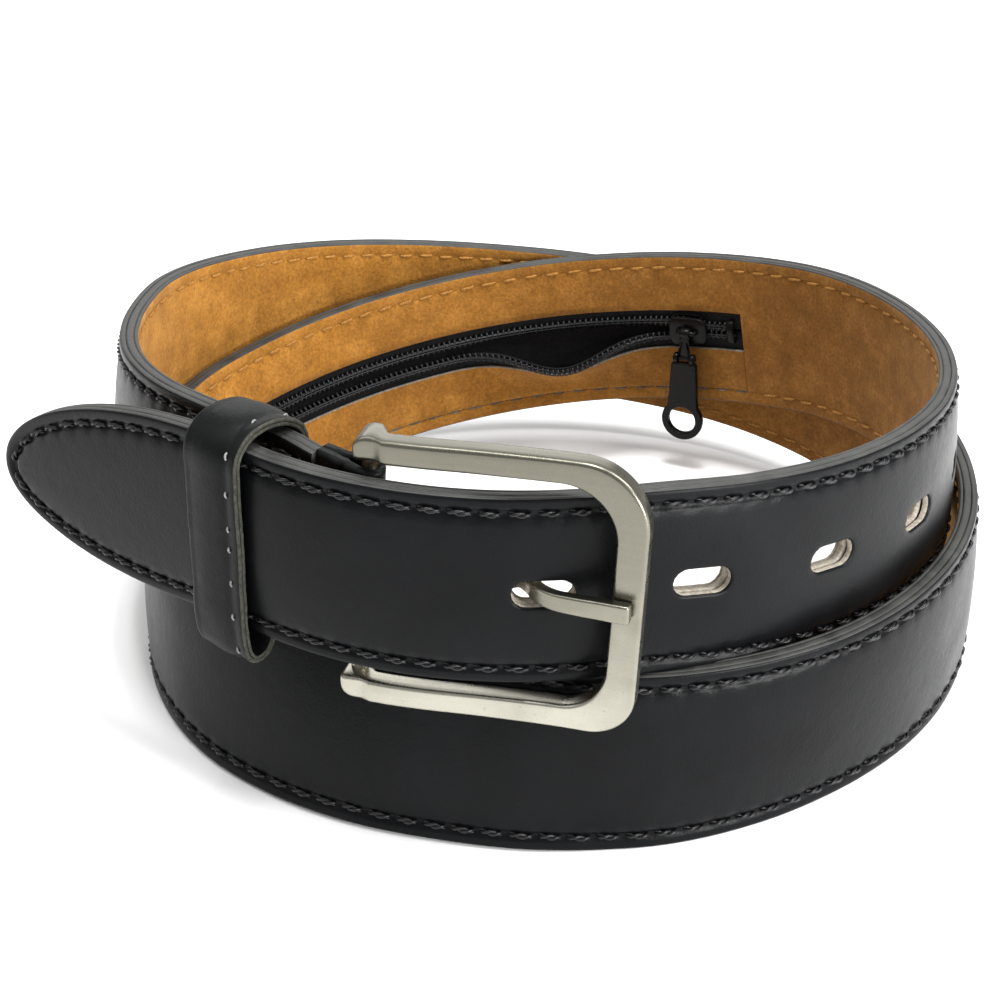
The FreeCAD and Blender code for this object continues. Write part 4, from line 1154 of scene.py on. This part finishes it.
piece(buckle, "frame", ["buckle_frame"])

TONGUE_LINE = [(-25.3, -68.6), (-16.0, -70.5), (-6.5, -71.5), (-1.6, -72.6), (0.8, -75.4), (2.4, -78.7),
               (5.0, -81.2), (9.0, -82.95), (12.0, -84.0), (14.5, -84.95), (17.2, -85.9)]


def smooth_line(points, n, closed=False):
    """Catmull-Rom line through points, n steps per span."""
    p = np.asarray(points, float)
    if closed:
        p = np.concatenate([p[-1:], p, p[:2]])
    else:
        p = np.concatenate([[2 * p[0] - p[1]], p, [2 * p[-1] - p[-2]]])
    out = []
    for i in range(1, len(p) - 2):
        a, b, c, d = p[i - 1:i + 3]
        for t in np.arange(n) / n:
            even = 2 * b + (c - a) * t
            out.append(0.5 * (even + (2 * a - 5 * b + 4 * c - d) * t ** 2 + (3 * b - a - 3 * c + d) * t ** 3))
    if not closed:
        out.append(p[-2])
    return np.array(out)


to_bar = np.array([((x - BAR[0]) * BX[0] + (y - BAR[1]) * BX[1], (x - BAR[0]) * BY[0] + (y - BAR[1]) * BY[1])
                   for x, y in TONGUE_LINE])
line = smooth_line(to_bar, 7)
line = np.concatenate([line[:-1], line[-2] + (line[-1] - line[-2]) * np.array([[0.5], [0.8], [0.93], [1.0]])])
tan = unit_rows(np.gradient(line, axis=0))
nor = np.stack([-tan[:, 1], tan[:, 0]], 1)
run = run_along(line)
PRONG_HALF, PRONG_T, ROOT_GROWS, ROOT_AT, ROOT_EASE = 1.72, 1.05, 1.1, 21.5, 4.0
verts = []
for point, nn, left in zip(line, nor, run[-1] - run):
    end = 0.45 * (1 - math.sqrt(max(0.0, 1 - max(0.0, 1 - left / 0.5) ** 2)))
    slim = 1.0 - 0.08 * min(1.0, max(0.0, (left - 3) / 12))
    root = ROOT_GROWS * smooth((left - ROOT_AT) / ROOT_EASE)
    for u, t in corner_section(PRONG_HALF * slim - end + root, PRONG_T - end, 0.42):
        verts.append((point[0] + nn[0] * t, point[1] + nn[1] * t, u))
prong = (verts, closed_faces(len(line), len(verts) // len(line)))
cv, cf = ring_eye(1.58, 2.68, 5.0, 0.3)
ct, st = math.cos(BAR_TILT), math.sin(BAR_TILT)
collar = (np.stack([cv[:, 1] * ct + cv[:, 0] * st, cv[:, 2], cv[:, 0] * ct - cv[:, 1] * st], 1), cf)
tongue = local_piece("buckle_prong", [prong, collar], bar_m, [NICKEL])
piece(tongue, "tongue", ["tongue"])

# --- leather folded round the bar
FOLD_IN, FOLD_OUT = 1.58, 2.66
FOLD_P = BAR + BAR_AXIS * 0.9
START_P, START_T = look_up(MID_TAB, np.array([S0]))[0], look_up(T_TAB, np.array([S0]))[0]
FOLD_X = START_P - FOLD_P
FOLD_X = unit(FOLD_X - BAR_AXIS * np.dot(FOLD_X, BAR_AXIS))
FOLD_Y = np.cross(BAR_AXIS, FOLD_X)
fold_m = frame_matrix(FOLD_P, FOLD_X, FOLD_Y, BAR_AXIS)


def fold_section(x_from, z):
    """U-shaped section round the bar at one height, as outer line then inner line back."""
    end = np.dot(START_P - FOLD_P - BAR_AXIS * z, START_T) / np.dot(FOLD_X, START_T) - 0.12
    outer, inner = [], []
    for x in np.linspace(end, max(x_from, 0.0), 13):
        k = smooth(x / end)
        outer.append((x, FOLD_OUT + (1.82 - FOLD_OUT) * k))
        inner.append((x, FOLD_IN + (0.10 - FOLD_IN) * smooth(x / (0.7 * end))))
    if x_from <= 0:
        for a in np.linspace(90, 270, 15)[1:-1]:
            outer.append((FOLD_OUT * math.cos(math.radians(a)), FOLD_OUT * math.sin(math.radians(a))))
            inner.append((FOLD_IN * math.cos(math.radians(a)), FOLD_IN * math.sin(math.radians(a))))
        outer += [(x, -y) for x, y in outer[:13][::-1]]
        inner += [(x, -y) for x, y in inner[:13][::-1]]
    return np.array(outer + inner[::-1]), end


def fold_block(z0, z1, x_from):
    parts = []
    zs = np.linspace(z0, z1, max(3, int((z1 - z0) / 0.8)))
    for side in ((1,) if x_from <= 0 else (1, -1)):
        rows = []
        for z in zs:
            sec, end = fold_section(x_from, z)
            sec = sec * [1, side]
            pinch = 0.10 * math.exp(-(17.5 - abs(z)) / 0.5)
            for i, (x, y) in enumerate(sec):
                free = smooth(x / 2.0) * smooth((end - x) / 2.0)
                wr = 0.45 * noise.noise(Vector((x * 0.45, z * 0.09, 7.0 + side))) + 0.22 * noise.noise(
                    Vector((x * 1.3, z * 0.3, 1.0)))
                sec[i, 1] = y * (1 - pinch) + wr * free * (1.0 if i < len(sec) // 2 else 0.7)
            lift = 0.35 * noise.noise(Vector((z * 0.01, 3.0, 8.0))) if abs(z) > 16 else 0.0
            rows.append(np.column_stack([sec, np.full(len(sec), z) + lift]))
        parts.append((np.concatenate(rows), closed_faces(len(zs), len(rows[0]))))
    return parts


fold_parts = fold_block(3.5, 17.4, 0.0) + fold_block(-17.4, -3.5, 0.0) + fold_block(-3.5, 3.5, 3.2)
fold = local_piece("bar_fold", fold_parts, fold_m, [LEATHER_KEEPER])
piece(fold, "belt", ["chape_fold"])

# --- keeper
KEEP_N = 220
s_keep = s_of(TURN_END + 0.3)
KT, KU, KN = (look_up(tb, np.array([s_keep]))[0] for tb in (T_TAB, U_TAB, N_TAB))
keeper_m = frame_matrix(middles([TURN_END + 0.3])[0], KT, KU, -KN)
FR, BK, TOP, LOW, SAG = 3.0, -11.7, 19.4, -18.0, -23.0
LOOP = [(FR, 0.0), (FR, 5.5), (FR, 11.0), (FR - 0.3, 16.0), (FR - 3.2, TOP - 0.6), (FR - 7.6, TOP),
        (BK + 3.2, TOP - 0.9), (BK + 0.4, 16.0), (BK, 11.0), (BK, 5.5), (BK, 0.0), (BK, -5.5), (BK, -10.5),
        (BK + 0.1, -15.0), (BK + 2.0, LOW + 0.1), (BK + 5.0, LOW - 0.1), (FR - 6.2, LOW - 0.35),
        (FR - 3.4, SAG + 1.0), (FR - 0.9, SAG + 1.4), (FR, -16.0), (FR, -10.5), (FR, -5.2)]
coarse = smooth_line(LOOP, 24, closed=True)
coarse = np.vstack([coarse, coarse[:1]])
c_run = run_along(coarse)
even = np.arange(KEEP_N) / KEEP_N * c_run[-1]
core_line = np.stack([np.interp(even, c_run, coarse[:, i]) for i in range(2)], 1)
kt = unit_rows(np.roll(core_line, -1, 0) - np.roll(core_line, 1, 0))
kn = np.stack([kt[:, 1], -kt[:, 0]], 1)
if np.sum(kn[:, 0] * core_line[:, 0]) < 0:
    kn = -kn
for _ in range(6):
    kn = (np.roll(kn, 1, 0) + 2 * kn + np.roll(kn, -1, 0)) / 4
kn = unit_rows(kn)

LAYER_IN = [(-6.75, 0.18), (-6.9, 0.30), (-6.9, 0.5), (-6.7, 0.68), (-5.0, 0.70), (0.0, 0.70), (5.6, 0.70),
            (6.42, 0.70), (6.5, 0.6), (6.5, 0.22), (6.42, 0.14), (0.0, 0.14)]
LAYER_OUT = [(-5.9, 0.76), (-6.25, 0.9), (-6.4, 1.15), (-6.3, 1.42), (-5.95, 1.60), (-5.5, 1.64), (-5.0, 1.62),
             (-4.4, 1.70), (-3.2, 1.84), (-1.6, 1.95), (0.0, 1.98), (1.4, 1.92), (2.6, 1.78), (3.3, 1.60),
             (3.8, 1.46), (4.2, 1.42), (4.6, 1.46), (5.1, 1.56), (5.8, 1.58), (6.25, 1.54), (6.42, 1.42),
             (6.46, 1.15), (6.42, 0.88), (6.2, 0.76), (0.0, 0.76)]


def keeper_layer(name, section, face_mats, rough):
    rows = []
    for i in range(KEEP_N):
        for x, g in section:
            x2 = x + 0.22 * noise.noise(Vector((i * 0.05, 5.0 * np.sign(x), 0.5))) * (abs(x) > 5)
            if abs(x) > 6.1:
                x2 += 0.09 * noise.noise(Vector((i * 0.35, g * 2.0, 9.0)))
            p = core_line[i] + kn[i] * (g + rough * noise.noise(Vector((x * 0.22, i * 0.045, 2.0 + rough))))
            rows.append((-x2, p[1], -p[0]))
    layer = (rows, grid_faces(KEEP_N, len(section), wrap_rows=True))
    return local_piece(name, [layer], keeper_m, [LEATHER_KEEPER, RAW_DARK], face_mats * KEEP_N)


backing = keeper_layer("keeper_back_layer", LAYER_IN, [0] * 6 + [1] * 4 + [0] * 2, 0.05)
face = keeper_layer("keeper_face_layer", LAYER_OUT, [0] * 19 + [1] * 4 + [0] * 2, 0.16)
piece(backing, "keeper", ["keeper_backing"])
piece(face, "keeper", ["keeper_leather"])
stitch_parts = []
for mid in np.arange(3.0, c_run[-1], 6.6):
    pts = []
    for k in np.linspace(-0.4, 0.4, 7):
        i = ((mid + k) / c_run[-1] * KEEP_N) % KEEP_N
        a, b = int(i) % KEEP_N, (int(i) + 1) % KEEP_N
        t = i - int(i)
        c, n = core_line[a] * (1 - t) + core_line[b] * t, kn[a] * (1 - t) + kn[b] * t
        p = c + n * (1.42 + 0.22 * (1 - (k / 0.4) ** 2))
        pts.append((-4.15 + 0.25 * k, p[1], -p[0]))
    stitch_parts.append(rod(pts, 0.2, 6, (1, 0, 0)))
piece(local_piece("keeper_stitches", stitch_parts, keeper_m, [THREAD_PALE]), "keeper")

# --- floor, light, camera
m = Shader("floor_pale", (0.86, 0.86, 0.86), 0.9)
m.base(m.blend(m.noise(3, 2), (0.85, 0.85, 0.85), (0.88, 0.88, 0.88)))
me = bpy.data.meshes.new("floor")
me.from_pydata([(-4, -4, -0.0001), (4, -4, -0.0001), (4, 4, -0.0001), (-4, 4, -0.0001)], [], [(0, 1, 2, 3)])
me.materials.append(m.mat)
floor = add_object("floor", me)

world = bpy.data.worlds.new("studio")
bpy.context.scene.world = world
world.use_nodes = True
sky = world.node_tree.nodes["Background"].inputs
sky["Color"].default_value = (1, 1, 1, 1)
sky["Strength"].default_value = 0.6

for name, loc, aim, size, power in (
        ("key_right", (0.55, -0.15, 0.70), (0.24, -0.10, 0), (0.5, 0.5), 7.0),
        ("low_right", (0.52, -0.50, 0.20), (0, 0, 0.05), (0.40, 0.22), 6.5),
        ("side_left", (-0.55, -0.05, 0.75), (-0.22, -0.05, 0), (0.5, 0.5), 1.6),
        ("back_card", (0, 0.95, 0.52), (0, 0, 0.04), (0.9, 0.35), 2.6),
        ("top_soft", (0.0, 0.1, 1.0), (0, 0, 0), (1.2, 1.2), 1.5),
        ("well", (0.0, -0.04, 1.1), (0, 0, 0), (0.25, 0.25), 10.5)):
    li = bpy.data.lights.new(name, "AREA")
    li.shape, li.size, li.size_y, li.energy = "RECTANGLE", *size, power
    ob = add_object(name, li)
    ob.location = loc
    ob.rotation_euler = (Vector(aim) - Vector(loc)).to_track_quat("-Z", "Y").to_euler()

VIEW_D, VIEW_EL, VIEW_Z = 469.8, math.radians(27.1), 35.0
target = Vector((SHIFT[0] * MM, SHIFT[1] * MM, (VIEW_Z + SHIFT[2]) * MM))
cam_data = bpy.data.cameras.new("camera")
cam_data.sensor_width, cam_data.lens = 36.0, 86.5315736
cam_data.shift_x, cam_data.shift_y = -0.0324873096, -0.0202030457
cam_data.clip_start, cam_data.clip_end = 0.01, 20
cam = add_object("camera", cam_data)
back = Vector((0, -math.cos(VIEW_EL), math.sin(VIEW_EL)))
cam.location = target + back * VIEW_D * MM
cam.rotation_euler = (-back).to_track_quat("-Z", "Y").to_euler()
bpy.context.scene.camera = cam
bpy.context.scene.view_settings.view_transform = "Standard"

bpy.context.view_layer.update()
